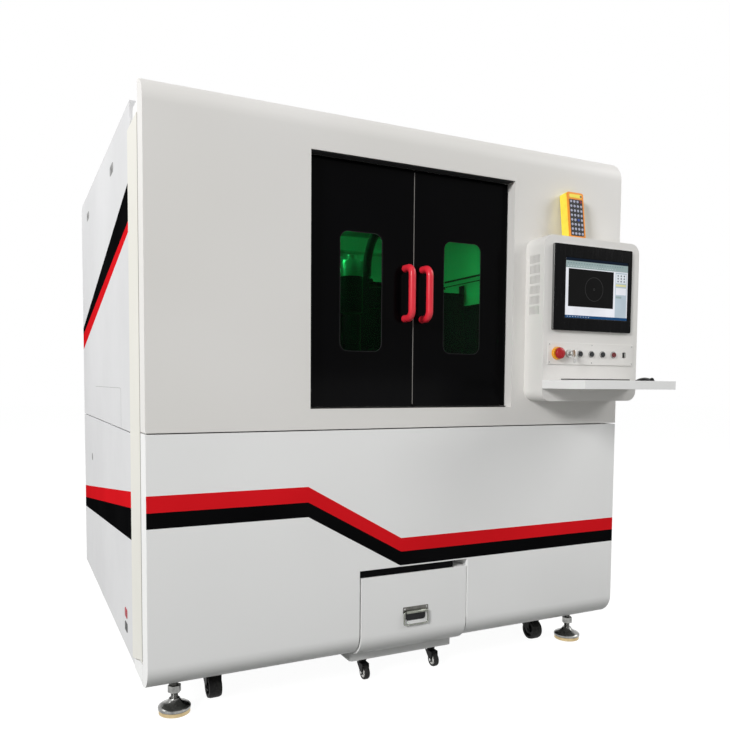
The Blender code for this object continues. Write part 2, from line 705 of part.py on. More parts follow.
def door(side, word):
    """One door with its window pane and handle, hung on its pivot."""
    edge = DOOR_OPENING_WIDTH / 2 - DOOR_EDGE_GAP
    pivot = (side * (edge - HINGE_FROM_EDGE), y_at(DOOR_RECESS + HINGE_FROM_FACE),
             DOOR_SILL_Z + DOOR_OPENING_HEIGHT / 2)
    hinge = pivot_empty(word + "_door_pivot", pivot)
    low = DOOR_SILL_Z + DOOR_EDGE_GAP
    high = DOOR_SILL_Z + DOOR_OPENING_HEIGHT - DOOR_EDGE_GAP
    inner, outer = sorted((side * DOOR_MEETING_GAP / 2, side * edge))
    back = DOOR_RECESS + DOOR_THICKNESS
    leaf = solid(word + "_door", block((inner, DOOR_RECESS, low), (outer, back, high)),
                 "black_paint", pivot, hinge)
    cut(leaf, block((inner + SHEET, DOOR_RECESS + SHEET, low + SHEET),
                    (outer - SHEET, back + SHEET, high - SHEET)))
    middle = side * WINDOW_OFFSET
    glass_low = WINDOW_CENTRE_Z - WINDOW_HEIGHT / 2
    glass_high = WINDOW_CENTRE_Z + WINDOW_HEIGHT / 2
    glass_left = middle - WINDOW_WIDTH / 2
    glass_right = middle + WINDOW_WIDTH / 2
    hole = rounded_rectangle(glass_left, glass_low, glass_right, glass_high, WINDOW_RADIUS)
    cut(leaf, prism(hole, "Y", DOOR_RECESS - SHEET, DOOR_RECESS + 2 * SHEET))
    bore = HINGE_PIN / 2 + RUNNING
    drills = []
    for end in (low, high):
        drills.append(turned([(0, -2 * SHEET), (bore, -2 * SHEET), (bore, 2 * SHEET), (0, 2 * SHEET)],
                             (pivot[0], DOOR_RECESS + HINGE_FROM_FACE, end), "Z", 12))
    cut(leaf, gather(drills))
    rim = rounded_rectangle(glass_left - PANE_LAP, glass_low - PANE_LAP, glass_right + PANE_LAP,
                            glass_high + PANE_LAP, WINDOW_RADIUS + PANE_LAP)
    pane_front = DOOR_RECESS + SHEET + TOUCH
    solid(word + "_window", prism(rim, "Y", pane_front, pane_front + PANE_THICKNESS), "window",
          pivot, hinge)
    reach = HANDLE_LENGTH / 2 - HANDLE_DIAMETER / 2
    bar_x = side * HANDLE_OFFSET
    seat = DOOR_RECESS - TOUCH
    bar = DOOR_RECESS - HANDLE_STANDOFF
    corners = [(bar_x, seat, HANDLE_CENTRE_Z - reach), (bar_x, bar, HANDLE_CENTRE_Z - reach),
               (bar_x, bar, HANDLE_CENTRE_Z + reach), (bar_x, seat, HANDLE_CENTRE_Z + reach)]
    bent_bar(word + "_handle", fillet(corners, HANDLE_BEND, 6), HANDLE_DIAMETER, "red_paint",
             pivot, hinge)


def levelling_foot(name, x, depth):
    """Pad, stud, lock nut and the collar that meets a sill."""
    pad = FOOT_PAD / 2
    stud = FOOT_STUD / 2
    top = SILL_BOTTOM - TOUCH
    profile = [(0, 0), (pad * 0.94, 0), (pad, 0.003), (pad, 0.009), (pad * 0.90, 0.012),
               (pad * 0.42, 0.022), (pad * 0.34, 0.034), (stud, 0.038),
               (stud, top - FOOT_COLLAR_HEIGHT), (FOOT_COLLAR / 2, top - FOOT_COLLAR_HEIGHT / 2),
               (FOOT_COLLAR / 2, top), (0, top)]
    made = solid(name, turned(profile, (x, depth, 0), "Z", TURNED_SEGMENTS), "zinc", smooth=35)
    across = FOOT_NUT / 2 / math.cos(math.pi / 6)
    hexagon = [(x + across * math.cos(math.pi * i / 3), depth + across * math.sin(math.pi * i / 3))
               for i in range(6)]
    return weld(made, prism(hexagon, "Z", FOOT_NUT_BOTTOM, FOOT_NUT_BOTTOM + FOOT_NUT_HEIGHT))


def caster(name, x, depth, top, floor_air, wheel, tread, trail, parent):
    """A swivel fork with its axle, and the wheel that runs on it."""
    radius = wheel / 2
    axle_z = floor_air + radius
    hub_half = tread / 2 + CHEEK / 2
    cheek_in = hub_half + RUNNING
    cheek_out = cheek_in + CHEEK
    bridge_low = axle_z + radius + CHEEK
    bridge_high = bridge_low + CHEEK
    swivel = pivot_empty(name + "_swivel", (x, y_at(depth), top), parent)
    axle_depth = depth - trail
    boss = AXLE_DIAMETER * 1.1
    reach = radius * 0.62
    tangent = [(depth + reach, bridge_high), (depth + reach, bridge_low)]
    tangent += arc((axle_depth, axle_z), boss, -20, -200, 6)
    tangent += [(axle_depth - boss, bridge_low), (axle_depth - boss, bridge_high)]
    origin = (x, y_at(depth), top)
    fork = solid(name + "_fork", prism(tangent, "X", x - cheek_out, x + cheek_out), "black_plastic",
                 origin, swivel)
    slot = [(depth + 2 * wheel, bridge_low), (depth - 2 * wheel, bridge_low),
            (depth - 2 * wheel, -wheel), (depth + 2 * wheel, -wheel)]
    cut(fork, prism(slot, "X", x - cheek_in, x + cheek_in))
    neck = [(0, bridge_high - CHEEK / 2), (reach * 0.9, bridge_high - CHEEK / 2),
            (reach * 0.9, top - TOUCH), (0, top - TOUCH)]
    weld(fork, turned(neck, (x, depth, 0), "Z", TURNED_SEGMENTS))
    pin = [(0, -cheek_out - CHEEK / 2), (AXLE_DIAMETER / 2, -cheek_out - CHEEK / 2),
           (AXLE_DIAMETER / 2, cheek_out + CHEEK / 2), (0, cheek_out + CHEEK / 2)]
    weld(fork, turned(pin, (x, axle_depth, axle_z), "X", TURNED_SEGMENTS // 2))
    bore = AXLE_DIAMETER / 2 + RUNNING
    crown = tread / 2
    half_ring = [(bore, -hub_half), (radius * 0.34, -hub_half), (radius * 0.40, -crown * 0.55),
                 (radius * 0.66, -crown * 0.55), (radius * 0.72, -crown), (radius * 0.93, -crown),
                 (radius, -crown * 0.55)]
    ring = half_ring + [(r, -far) for r, far in reversed(half_ring)]
    solid(name + "_wheel", turned(ring, (x, axle_depth, axle_z), "X", WHEEL_SEGMENTS), "tyre",
          (x, y_at(axle_depth), axle_z), fork, 35)


def running_gear():
    """Levelling feet and casters under the frame."""
    for side, word in ((-1, "left"), (1, "right")):
        for place, foot, roll in (("front", FOOT_INSET, MACHINE_CASTER_INSET),
                                  ("rear", BODY_DEPTH - FOOT_INSET,
                                   BODY_DEPTH - MACHINE_CASTER_INSET)):
            levelling_foot(f"{place}_{word}_foot", side * FOOT_X, foot)
            caster(f"{place}_{word}_caster", side * MACHINE_CASTER_X, roll, SILL_BOTTOM,
                   MACHINE_FLOOR_AIR, MACHINE_WHEEL, MACHINE_TREAD, MACHINE_TRAIL, None)


def scrap_cart():
    """The scrap cart: front, bin, base, bail handle and four casters."""
    rail = pivot_empty("cart_rail", (0, y_at(0), CART_BASE_TOP))
    origin = tuple(rail.location)
    rear = SHELL_DEPTH + CART_LENGTH
    front_shell("cart_front", CART_HALF, CART_BOTTOM, CART_TOP, SHELL_ROLL, 0, SHELL_DEPTH,
                rail, origin)
    base_half = CART_HALF - CART_BASE_INSET
    solid("cart_base", block((-base_half, CART_BASE_SETBACK, CART_BASE_BOTTOM),
                             (base_half, rear, CART_BASE_TOP)), "white_paint", origin, rail)
    floor = CART_BASE_TOP + TOUCH
    bin_front = SHELL_DEPTH + TOUCH
    tub = solid("cart_bin", block((-base_half, bin_front, floor), (base_half, rear, BIN_TOP)),
                "frame_paint", origin, rail)
    cut(tub, block((SHEET - base_half, bin_front + SHEET, floor + SHEET),
                   (base_half - SHEET, rear - SHEET, BIN_TOP + SHEET)))
    bail_handle(rail)
    for side, word in ((-1, "left"), (1, "right")):
        for place, depth in (("front", CART_CASTER_FRONT), ("rear", CART_CASTER_REAR)):
            caster(f"cart_{place}_{word}_caster", side * CART_CASTER_X, depth, CART_BASE_BOTTOM,
                   CART_FLOOR_AIR, CART_WHEEL, CART_TREAD, CART_TRAIL, rail)


def bail_handle(rail):
    """The chest handle on the cart's front: plate with barrel, and the hanging bail."""
    half = BAIL_PLATE_WIDTH / 2
    barrel_half = BAIL_BARREL_LENGTH / 2
    back = -TOUCH
    front = back - BAIL_PLATE_THICKNESS
    low = barrel_half - 2 * TOUCH
    toe = low - BAIL_PLATE_CHAMFER
    outline = [(-half, BAIL_PLATE_SHOULDER), (-low, BAIL_PLATE_SHOULDER),
               (-low, BAIL_PLATE_BOTTOM + BAIL_PLATE_CHAMFER), (-toe, BAIL_PLATE_BOTTOM),
               (toe, BAIL_PLATE_BOTTOM), (low, BAIL_PLATE_BOTTOM + BAIL_PLATE_CHAMFER),
               (low, BAIL_PLATE_SHOULDER), (half, BAIL_PLATE_SHOULDER),
               (half, BAIL_PLATE_TOP), (-half, BAIL_PLATE_TOP)]
    origin = tuple(rail.location)
    plate = solid("cart_handle_plate", prism(outline, "Y", front, back), "dark_steel", origin, rail)
    axis_depth = front - BAIL_BARREL_RADIUS * 0.7
    barrel = [(0, -barrel_half), (BAIL_BARREL_RADIUS, -barrel_half),
              (BAIL_BARREL_RADIUS, barrel_half), (0, barrel_half)]
    weld(plate, turned(barrel, (0, axis_depth, BAIL_BARREL_Z), "X", TURNED_SEGMENTS))
    hole = BAIL_WIRE / 2 + RUNNING
    near = barrel_half - BAIL_HOLE_DEPTH
    far = barrel_half + SHEET
    sockets = [turned([(0, side * near), (hole, side * near), (hole, side * far), (0, side * far)],
                      (0, axis_depth, BAIL_BARREL_Z), "X", 12) for side in (-1, 1)]
    cut(plate, gather(sockets))
    pivot = (0, y_at(axis_depth), BAIL_BARREL_Z)
    hinge = pivot_empty("cart_bail_pivot", pivot, rail)
    leg = half - BAIL_WIRE / 2
    tip = barrel_half - BAIL_HOLE_DEPTH + RUNNING * 2
    bottom = BAIL_BARREL_Z - BAIL_DROP
    corners = [(-tip, axis_depth, BAIL_BARREL_Z), (-leg, axis_depth, BAIL_BARREL_Z),
               (-leg, axis_depth, bottom), (leg, axis_depth, bottom),
               (leg, axis_depth, BAIL_BARREL_Z), (tip, axis_depth, BAIL_BARREL_Z)]
    bend = min(BAIL_BEND, leg - barrel_half - RUNNING)
    bent_bar("cart_bail", fillet(corners, bend, 4), BAIL_WIRE, "dark_steel", pivot, hinge, 3)


def granite_bed():
    """Granite bed with its scrap chute and the two Y rails."""
    half = BED_WIDTH / 2
    rear = BED_START + BED_LENGTH
    made = solid("granite_bed", block((-half, BED_START, BED_BOTTOM), (half, rear, BED_TOP)),
                 "granite")
    cut(made, block((-CHUTE_WIDTH / 2, WORK_DEPTH - CHUTE_LENGTH / 2, BED_BOTTOM - SHEET),
                    (CHUTE_WIDTH / 2, WORK_DEPTH + CHUTE_LENGTH / 2, BED_TOP + SHEET)))
    margin = (BED_LENGTH - RAIL_LENGTH) / 2
    for side in (-1, 1):
        middle = side * RAIL_SPACING / 2
        weld(made, block((middle - RAIL_SIZE / 2, BED_START + margin, BED_TOP - SHEET),
                         (middle + RAIL_SIZE / 2, rear - margin, BED_TOP + RAIL_SIZE)))
    fixture = block((-FIXTURE_WIDTH / 2, WORK_DEPTH - FIXTURE_LENGTH / 2, BED_TOP + TOUCH),
                    (FIXTURE_WIDTH / 2, WORK_DEPTH + FIXTURE_LENGTH / 2, FIXTURE_TOP))
    frame = solid("sheet_fixture", fixture, "anodised")
    cut(frame, block((FIXTURE_BAR - FIXTURE_WIDTH / 2, WORK_DEPTH + FIXTURE_BAR - FIXTURE_LENGTH / 2,
                      BED_TOP - SHEET),
                     (FIXTURE_WIDTH / 2 - FIXTURE_BAR, WORK_DEPTH - FIXTURE_BAR + FIXTURE_LENGTH / 2,
                      FIXTURE_TOP + SHEET)))


def gantry():
    """Gantry, X carriage and Z-sliding cutting head."""
    front = GANTRY_SETBACK - GANTRY_DEPTH / 2
    rear = GANTRY_SETBACK + GANTRY_DEPTH / 2
    leg_in = RAIL_SPACING / 2 - GANTRY_LEG / 2
    leg_out = RAIL_SPACING / 2 + GANTRY_LEG / 2
    rail_top = BED_TOP + RAIL_SIZE
    slot = RAIL_SIZE / 2 + TOUCH
    middle = RAIL_SPACING / 2
    half = [(middle - slot, rail_top + TOUCH), (middle - slot, rail_top - RUNNER_LAP),
            (leg_in, rail_top - RUNNER_LAP), (leg_in, GANTRY_BEAM_BOTTOM)]
    far = [(leg_out, GANTRY_BEAM_TOP), (leg_out, rail_top - RUNNER_LAP),
           (middle + slot, rail_top - RUNNER_LAP), (middle + slot, rail_top + TOUCH)]
    right = far + half
    outline = right + [(-x, z) for x, z in reversed(right)]
    rail = pivot_empty("gantry_rail", (0, y_at(GANTRY_SETBACK), rail_top))
    beam = solid("gantry_beam", prism(outline, "Y", front, rear), "black_paint",
                 tuple(rail.location), rail)
    beam_middle = (GANTRY_BEAM_BOTTOM + GANTRY_BEAM_TOP) / 2
    for side in (-1, 1):
        z = beam_middle + side * X_RAIL_PITCH / 2
        weld(beam, block((-leg_in, front - X_RAIL_SIZE, z - X_RAIL_SIZE / 2),
                         (leg_in, front + SHEET, z + X_RAIL_SIZE / 2)))
    plate_back = front - X_RAIL_SIZE - TOUCH
    plate_front = plate_back - CARRIAGE_PLATE
    left = CARRIAGE_X - CARRIAGE_WIDTH / 2
    right_x = CARRIAGE_X + CARRIAGE_WIDTH / 2
    cross = pivot_empty("carriage_rail", (CARRIAGE_X, y_at(plate_back), beam_middle), rail)
    plate = rounded_rectangle(left, CARRIAGE_BOTTOM, right_x, CARRIAGE_TOP, 0.012, 3)
    carriage = solid("x_carriage", prism(plate, "Y", plate_front, plate_back), "black_plastic",
                     tuple(cross.location), cross)
    saddle_top = CARRIAGE_TOP - CARRIAGE_PLATE
    first_foot = CARRIAGE_X + CONDUIT_X
    last_foot = first_foot + CONDUIT_SPAN
    weld(carriage, block((left + CARRIAGE_PLATE, plate_back - SHEET, GANTRY_BEAM_TOP + SADDLE_AIR),
                         (last_foot + CONDUIT_DIAMETER, rear - CARRIAGE_PLATE, saddle_top)))
    arch_depth = plate_back + CONDUIT_DIAMETER
    foot_z = saddle_top - SHEET
    apex = saddle_top + CONDUIT_RISE
    corners = [(first_foot, arch_depth, foot_z), (first_foot, arch_depth, apex),
               (last_foot, arch_depth, apex), (last_foot, arch_depth, foot_z)]
    weld(carriage, hose(fillet(corners, CONDUIT_BEND, 5), CONDUIT_DIAMETER, 8))
    cutting_head(plate_front, cross)


def cutting_head(plate_front, cross):
    """Cutting head: slide block, turned body and nozzle."""
    slide_back = plate_front - TOUCH
    slide_front = slide_back - HEAD_SLIDE_DEPTH
    radius = HEAD_DIAMETER / 2
    wide = COLLIMATOR_DIAMETER / 2
    axis_depth = slide_front - wide * 0.8
    tip = FIXTURE_TOP + NOZZLE_AIR
    origin = (CARRIAGE_X, y_at(axis_depth), tip)
    slide = pivot_empty("head_slide", origin, cross)
    profile = [(0, tip), (0.004, tip), (0.012, tip + 0.022), (0.024, tip + 0.030),
               (0.026, tip + 0.060), (radius * 0.80, tip + 0.072),
               (radius * 0.80, HEAD_BODY_BOTTOM), (radius, HEAD_BODY_BOTTOM + 0.006),
               (radius, COLLIMATOR_BOTTOM - 0.008), (wide, COLLIMATOR_BOTTOM),
               (wide, HEAD_TOP - 0.024), (wide * 0.93, HEAD_TOP - 0.020),
               (wide * 0.45, HEAD_TOP - 0.020), (wide * 0.45, HEAD_TOP), (0, HEAD_TOP)]
    head = solid("cutting_head", turned(profile, (CARRIAGE_X, axis_depth, 0), "Z", TURNED_SEGMENTS),
                 "anodised", origin, slide, 35)
    weld(head, block((CARRIAGE_X - HEAD_SLIDE_WIDTH / 2, slide_front - wide * 0.6,
                      HEAD_BODY_BOTTOM + 0.020),
                     (CARRIAGE_X + HEAD_SLIDE_WIDTH / 2, slide_back, COLLIMATOR_BOTTOM - 0.015)))


def laser_source():
    """Rack-width laser source on the sills beside the cart bay, with two grab handles."""
    middle = (BAY_HALF + TUBE + FRAME_OUTER - TUBE) / 2
    low = SILL_TOP + TOUCH
    made = solid("laser_source", block((middle - SOURCE_WIDTH / 2, SOURCE_START, low),
                                       (middle + SOURCE_WIDTH / 2, SOURCE_START + SOURCE_DEPTH,
                                        low + SOURCE_HEIGHT)), "black_plastic")
    for side in (-1, 1):
        grip = middle + side * (SOURCE_WIDTH / 2 - 0.030)
        weld(made, block((grip - SOURCE_HANDLE / 2, SOURCE_START - 0.035, low + 0.030),
                         (grip + SOURCE_HANDLE / 2, SOURCE_START + SHEET,
                          low + SOURCE_HEIGHT - 0.030)))
        cut(made, block((grip - SOURCE_HANDLE, SOURCE_START - 0.035 + SOURCE_HANDLE, low + 0.042),
                        (grip + SOURCE_HANDLE, SOURCE_START - TOUCH,
                         low + SOURCE_HEIGHT - 0.042)))


def console():
    """Console housing with its vents, monitor and switch row."""
    outline = rounded_rectangle(CONSOLE_LEFT, CONSOLE_BOTTOM, CONSOLE_RIGHT, CONSOLE_TOP,
                                CONSOLE_RADIUS)
    hollow = rounded_rectangle(CONSOLE_LEFT + SHEET, CONSOLE_BOTTOM + SHEET, CONSOLE_RIGHT - SHEET,
                               CONSOLE_TOP - SHEET, CONSOLE_RADIUS - SHEET)
    back = -TOUCH
    made = solid("console_housing", prism(outline, "Y", CONSOLE_FACE, back), "white_paint",
                 smooth=30)
    cut(made, prism(hollow, "Y", CONSOLE_FACE + SHEET, back + SHEET))
    right = MONITOR_LEFT + MONITOR_WIDTH
    low = MONITOR_TOP - MONITOR_HEIGHT
    inset = MONITOR_BACK_INSET
    cut(made, block((MONITOR_LEFT + inset - TOUCH, CONSOLE_FACE - SHEET, low + inset - TOUCH),
                    (right - inset + TOUCH, CONSOLE_FACE + 2 * SHEET, MONITOR_TOP - inset + TOUCH)))
    plate_low = PLATE_TOP - PLATE_HEIGHT
    cut(made, block((PLATE_LEFT + PLATE_BACK_INSET, CONSOLE_FACE - SHEET,
                     plate_low + PLATE_BACK_INSET),
                    (PLATE_LEFT + PLATE_WIDTH - PLATE_BACK_INSET, CONSOLE_FACE + 2 * SHEET,
                     PLATE_TOP - PLATE_BACK_INSET)))
    row_pitch = (VENT_TOP - VENT_BOTTOM + VENT_ROW_GAP) / VENT_ROWS
    column_pitch = (VENT_SPAN - VENT_SLOT_WIDTH) / (VENT_COLUMNS - 1)
    slots = []
    for row in range(VENT_ROWS):
        slot_low = VENT_BOTTOM + row * row_pitch
        for column in range(VENT_COLUMNS):
            slot_rear = -VENT_FRONT - column * column_pitch
            slots.append(block((CONSOLE_LEFT - SHEET, slot_rear - VENT_SLOT_WIDTH, slot_low),
                               (CONSOLE_LEFT + 2 * SHEET, slot_rear,
                                slot_low + row_pitch - VENT_ROW_GAP)))
    cut(made, gather(slots))
    monitor(right, low)
    switch_row()


def monitor(right, low):
    """Monitor: proud bezel, sunk screen and the body behind the console's face."""
    inset = MONITOR_BACK_INSET
    bezel = rounded_rectangle(MONITOR_LEFT, low, right, MONITOR_TOP, 0.005, 3)
    made = solid("monitor", prism(bezel, "Y", CONSOLE_FACE - TOUCH - MONITOR_PROUD,
                                  CONSOLE_FACE - TOUCH), "black_plastic")
    weld(made, block((MONITOR_LEFT + inset, CONSOLE_FACE - 2 * TOUCH, low + inset),
                     (right - inset, CONSOLE_FACE + MONITOR_BACK_DEPTH, MONITOR_TOP - inset)))
    middle = (MONITOR_LEFT + right) / 2 + SCREEN_OFFSET
    centre_z = (MONITOR_TOP + low) / 2
    face = CONSOLE_FACE - TOUCH - MONITOR_PROUD
    cut(made, block((middle - SCREEN_WIDTH / 2, face - SHEET, centre_z - SCREEN_HEIGHT / 2),
                    (middle + SCREEN_WIDTH / 2, face + SCREEN_SINK, centre_z + SCREEN_HEIGHT / 2)))


def switch_row():
    """Switch plate, emergency stop, key switch, four push buttons and a port."""
    back = CONSOLE_FACE - TOUCH
    face = back - PLATE_THICKNESS
    plate = solid("switch_plate", block((PLATE_LEFT, face, PLATE_TOP - PLATE_HEIGHT),
                                        (PLATE_LEFT + PLATE_WIDTH, back, PLATE_TOP)), "white_paint")
    stations = [STATION_FIRST_X + STATION_PITCH * i for i in range(7)]
    ring = BUTTON_DIAMETER + 2 * BUTTON_RING_WIDTH
    collars = [(stations[0], ESTOP_COLLAR, ESTOP_COLLAR_HEIGHT, ESTOP_STEM),
               (stations[1], KEY_BARREL, KEY_BARREL_HEIGHT, KEY_PLUG)]
    collars += [(x, ring, BUTTON_RING_HEIGHT, BUTTON_DIAMETER) for x in stations[2:6]]
    weld(plate, gather([collar(x, face, outer, height) for x, outer, height, bore in collars]))
    holes = [drill(x, face, height, bore) for x, outer, height, bore in collars]
    holes.append(block((stations[6] - PORT_WIDTH / 2, face - SHEET, STATION_Z - PORT_HEIGHT / 2),
                       (stations[6] + PORT_WIDTH / 2, back + SHEET, STATION_Z + PORT_HEIGHT / 2)))
    cut(plate, gather(holes))
    emergency_stop(stations[0], face, back)
    key(stations[1], face, back)
    for number, x in enumerate(stations[2:6], 1):
        push_button(number, x, face, back)


def collar(x, face, outer, height):
    """A round collar standing on the switch plate."""
    ring = [(0, SHEET / 2), (outer / 2, SHEET / 2), (outer / 2, -height), (0, -height)]
    return turned(ring, (x, face, STATION_Z), "Y", TURNED_SEGMENTS)


def drill(x, face, height, bore):
    """The hole through a collar and the plate, with running air."""
    hole = bore / 2 + RUNNING
    profile = [(0, -height - SHEET), (hole, -height - SHEET), (hole, 3 * SHEET), (0, 3 * SHEET)]
    return turned(profile, (x, face, STATION_Z), "Y", TURNED_SEGMENTS)


def emergency_stop(x, face, back):
    """Mushroom head on its stem; the flange behind the plate keeps it in."""
    under = -ESTOP_COLLAR_HEIGHT - ESTOP_TRAVEL - 2 * TOUCH
    flange = back - face + TOUCH
    radius = ESTOP_HEAD / 2
    stem = ESTOP_STEM / 2
    profile = [(0, under - 0.014), (radius * 0.55, under - 0.0125), (radius * 0.88, under - 0.009),
               (radius, under - 0.005), (radius * 0.94, under), (stem, under),
               (stem, flange), (stem + 0.003, flange), (stem + 0.003, flange + 0.004),
               (0, flange + 0.004)]
    origin = (x, y_at(face), STATION_Z)
    guide = pivot_empty("estop_guide", origin)
    solid("estop_button", turned(profile, (x, face, STATION_Z), "Y", TURNED_SEGMENTS),
          "red_plastic", origin, guide, 35)


def key(x, face, back):
    """Key in its plug, which turns in the barrel."""
    front = -KEY_BARREL_HEIGHT - 0.001
    plug = KEY_PLUG / 2
    flange = back - face + TOUCH
    profile = [(0, front), (plug, front), (plug, flange), (plug + 0.003, flange),
               (plug + 0.003, flange + 0.004), (0, flange + 0.004)]
    origin = (x, y_at(face), STATION_Z)
    turn = pivot_empty("key_turn", origin)
    made = solid("key", turned(profile, (x, face, STATION_Z), "Y", TURNED_SEGMENTS), "zinc",
                 origin, turn)
    bow_front = face + front - KEY_BOW
    outline = rounded_rectangle(bow_front, STATION_Z - KEY_BOW / 2, face + front - 0.006,
                                STATION_Z + KEY_BOW / 2, 0.006, 3)
    weld(made, prism(outline, "X", x - 0.00125, x + 0.00125))
    weld(made, block((x - 0.00125, face + front - 0.010, STATION_Z - 0.004),
                     (x + 0.00125, face + front + 0.002, STATION_Z + 0.004)))


def push_button(number, x, face, back):
    """Push button with the flange that keeps it behind the plate."""
    radius = BUTTON_DIAMETER / 2
    front = -BUTTON_RING_HEIGHT - BUTTON_PROUD
    flange = back - face + TOUCH
    profile = [(0, front), (radius * 0.85, front), (radius, front + 0.0015), (radius, flange),
               (radius + BUTTON_FLANGE, flange), (radius + BUTTON_FLANGE, flange + BUTTON_FLANGE),
               (0, flange + BUTTON_FLANGE)]
    origin = (x, y_at(face), STATION_Z)
    guide = pivot_empty(f"push_button_{number}_guide", origin)
    solid(f"push_button_{number}", turned(profile, (x, face, STATION_Z), "Y", TURNED_SEGMENTS),
          "black_plastic", origin, guide, 35)


def tray_and_hand_pieces():
    """Keyboard tray, the mouse in it and the remote that leans on the front shell."""
    back = CONSOLE_FACE - TOUCH
    low = TRAY_TOP - TRAY_HEIGHT
    tray = solid("keyboard_tray", block((CONSOLE_LEFT, TRAY_FRONT, low), (TRAY_RIGHT, back, TRAY_TOP)),
                 "white_paint")
    cut(tray, block((CONSOLE_LEFT + SHEET, TRAY_FRONT + SHEET, low + SHEET),
                    (TRAY_RIGHT - SHEET, back - SHEET, TRAY_TOP + SHEET)))
    seat = low + SHEET + TOUCH
    mouse = bmesh.new()
    bmesh.ops.create_uvsphere(mouse, u_segments=16, v_segments=10, radius=0.5)
    bmesh.ops.scale(mouse, verts=mouse.verts, vec=(MOUSE_WIDTH, MOUSE_LENGTH, 2 * MOUSE_HEIGHT))
    bmesh.ops.bisect_plane(mouse, geom=mouse.verts[:] + mouse.edges[:] + mouse.faces[:],
                           plane_co=(0, 0, 0), plane_no=(0, 0, -1), clear_outer=True)
    rim = [edge for edge in mouse.edges if edge.is_boundary]
    bmesh.ops.contextual_create(mouse, geom=rim)
    bmesh.ops.translate(mouse, verts=mouse.verts, vec=(MOUSE_X, y_at(-MOUSE_DEPTH), seat))
    solid("mouse", mouse, "black_plastic", smooth=50)
    floor = CONSOLE_TOP + TOUCH
    outline = rounded_rectangle(REMOTE_LEFT, floor, REMOTE_LEFT + REMOTE_WIDTH,
                                floor + REMOTE_HEIGHT, REMOTE_RADIUS, 4)
    lean = math.radians(REMOTE_LEAN)
    foot = -TOUCH - REMOTE_HEIGHT * math.sin(lean)
    remote = prism(outline, "Y", foot - REMOTE_DEPTH, foot)
    bmesh.ops.rotate(remote, verts=remote.verts, cent=(REMOTE_LEFT, y_at(foot), floor),
                     matrix=Matrix.Rotation(-lean, 3, "X"))
    solid("remote", remote, "yellow_plastic", smooth=30)


def main():
    """Build the machine from the frame outwards."""
    for old in list(bpy.data.objects):
        bpy.data.objects.remove(old)
    base_frame()
    enclosure()
    door_stop()
    door(-1, "left")
    door(1, "right")
    running_gear()
    scrap_cart()
    granite_bed()
    gantry()
    laser_source()
    console()
    tray_and_hand_pieces()


main()
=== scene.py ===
"""Looks of a compact fiber laser cutting machine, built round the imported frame.

Lengths are in metres, X to the operator's right, Y into the machine and Z up.
"""

import json
import logging
import math
from dataclasses import dataclass, field
from enum import Enum

import bmesh
import bpy
from mathutils import Matrix, Vector

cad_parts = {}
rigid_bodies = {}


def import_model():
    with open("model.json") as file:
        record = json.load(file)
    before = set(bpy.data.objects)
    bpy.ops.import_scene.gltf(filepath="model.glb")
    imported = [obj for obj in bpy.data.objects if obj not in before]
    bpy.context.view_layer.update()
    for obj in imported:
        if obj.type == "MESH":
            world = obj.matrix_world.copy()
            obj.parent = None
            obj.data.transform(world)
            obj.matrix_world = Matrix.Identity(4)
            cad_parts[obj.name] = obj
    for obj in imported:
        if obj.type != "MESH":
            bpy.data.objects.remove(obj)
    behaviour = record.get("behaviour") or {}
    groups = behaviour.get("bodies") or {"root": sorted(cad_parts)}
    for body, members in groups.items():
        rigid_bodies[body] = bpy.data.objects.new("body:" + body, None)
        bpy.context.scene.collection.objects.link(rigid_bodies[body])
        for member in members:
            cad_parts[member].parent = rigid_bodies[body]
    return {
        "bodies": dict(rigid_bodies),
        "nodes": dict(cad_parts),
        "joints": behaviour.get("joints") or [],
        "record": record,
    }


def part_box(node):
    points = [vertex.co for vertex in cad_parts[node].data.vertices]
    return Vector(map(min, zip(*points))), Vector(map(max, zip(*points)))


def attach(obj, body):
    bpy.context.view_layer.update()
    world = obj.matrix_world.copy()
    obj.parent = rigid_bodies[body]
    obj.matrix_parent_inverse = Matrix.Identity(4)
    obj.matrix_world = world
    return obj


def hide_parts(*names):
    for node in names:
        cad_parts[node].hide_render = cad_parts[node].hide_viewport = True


LOG = logging.getLogger("laser_cutter")
MM = 0.001
FRONT_FACE = -0.74425         # Y of the cabinet's front, which depths are counted from
Point = tuple[float, float, float]
Outline = list[tuple[float, float]]
Box = tuple[float, float, float, float]
Mesh = bmesh.types.BMesh
Piece = bpy.types.Object
Tree = bpy.types.NodeTree
Socket = bpy.types.NodeSocket


class Axis(Enum):
    """The three directions a turned or extruded piece may follow."""

    X = 0
    Y = 1
    Z = 2


class Side(Enum):
    """Left or right half of the machine, as the sign of its X."""

    LEFT = -1
    RIGHT = 1

    @property
    def word(self) -> str:
        """The side's name as it stands in node names."""
        return self.name.lower()


# Colour and nodes


def srgb(code: str) -> tuple[float, float, float, float]:
    """Turn an sRGB hex colour into the linear values Blender works in.

    Args:
        code: six hex digits, such as "e6e6e2".

    Returns:
        Red, green, blue and alpha.
    """
    channels = [int(code[i:i + 2], 16) / 255 for i in (0, 2, 4)]
    linear = [c / 12.92 if c <= 0.04045 else ((c + 0.055) / 1.055) ** 2.4 for c in channels]
    return (*linear, 1.0)


def add_node(tree: Tree, kind: str, inputs: dict | None = None,
             **settings: object) -> bpy.types.Node:
    """Add one node, shader or geometry, with its settings and links.

    Args:
        tree: the tree that gets the node.
        kind: the node's type name.
        inputs: values or output sockets, by input name or number.
        settings: properties of the node itself.

    Returns:
        The new node.
    """
    made = tree.nodes.new(kind)
    for key, value in settings.items():
        setattr(made, key, value)
    for key, value in (inputs or {}).items():
        if isinstance(value, Socket):
            tree.links.new(value, made.inputs[key])
        else:
            made.inputs[key].default_value = value
    return made


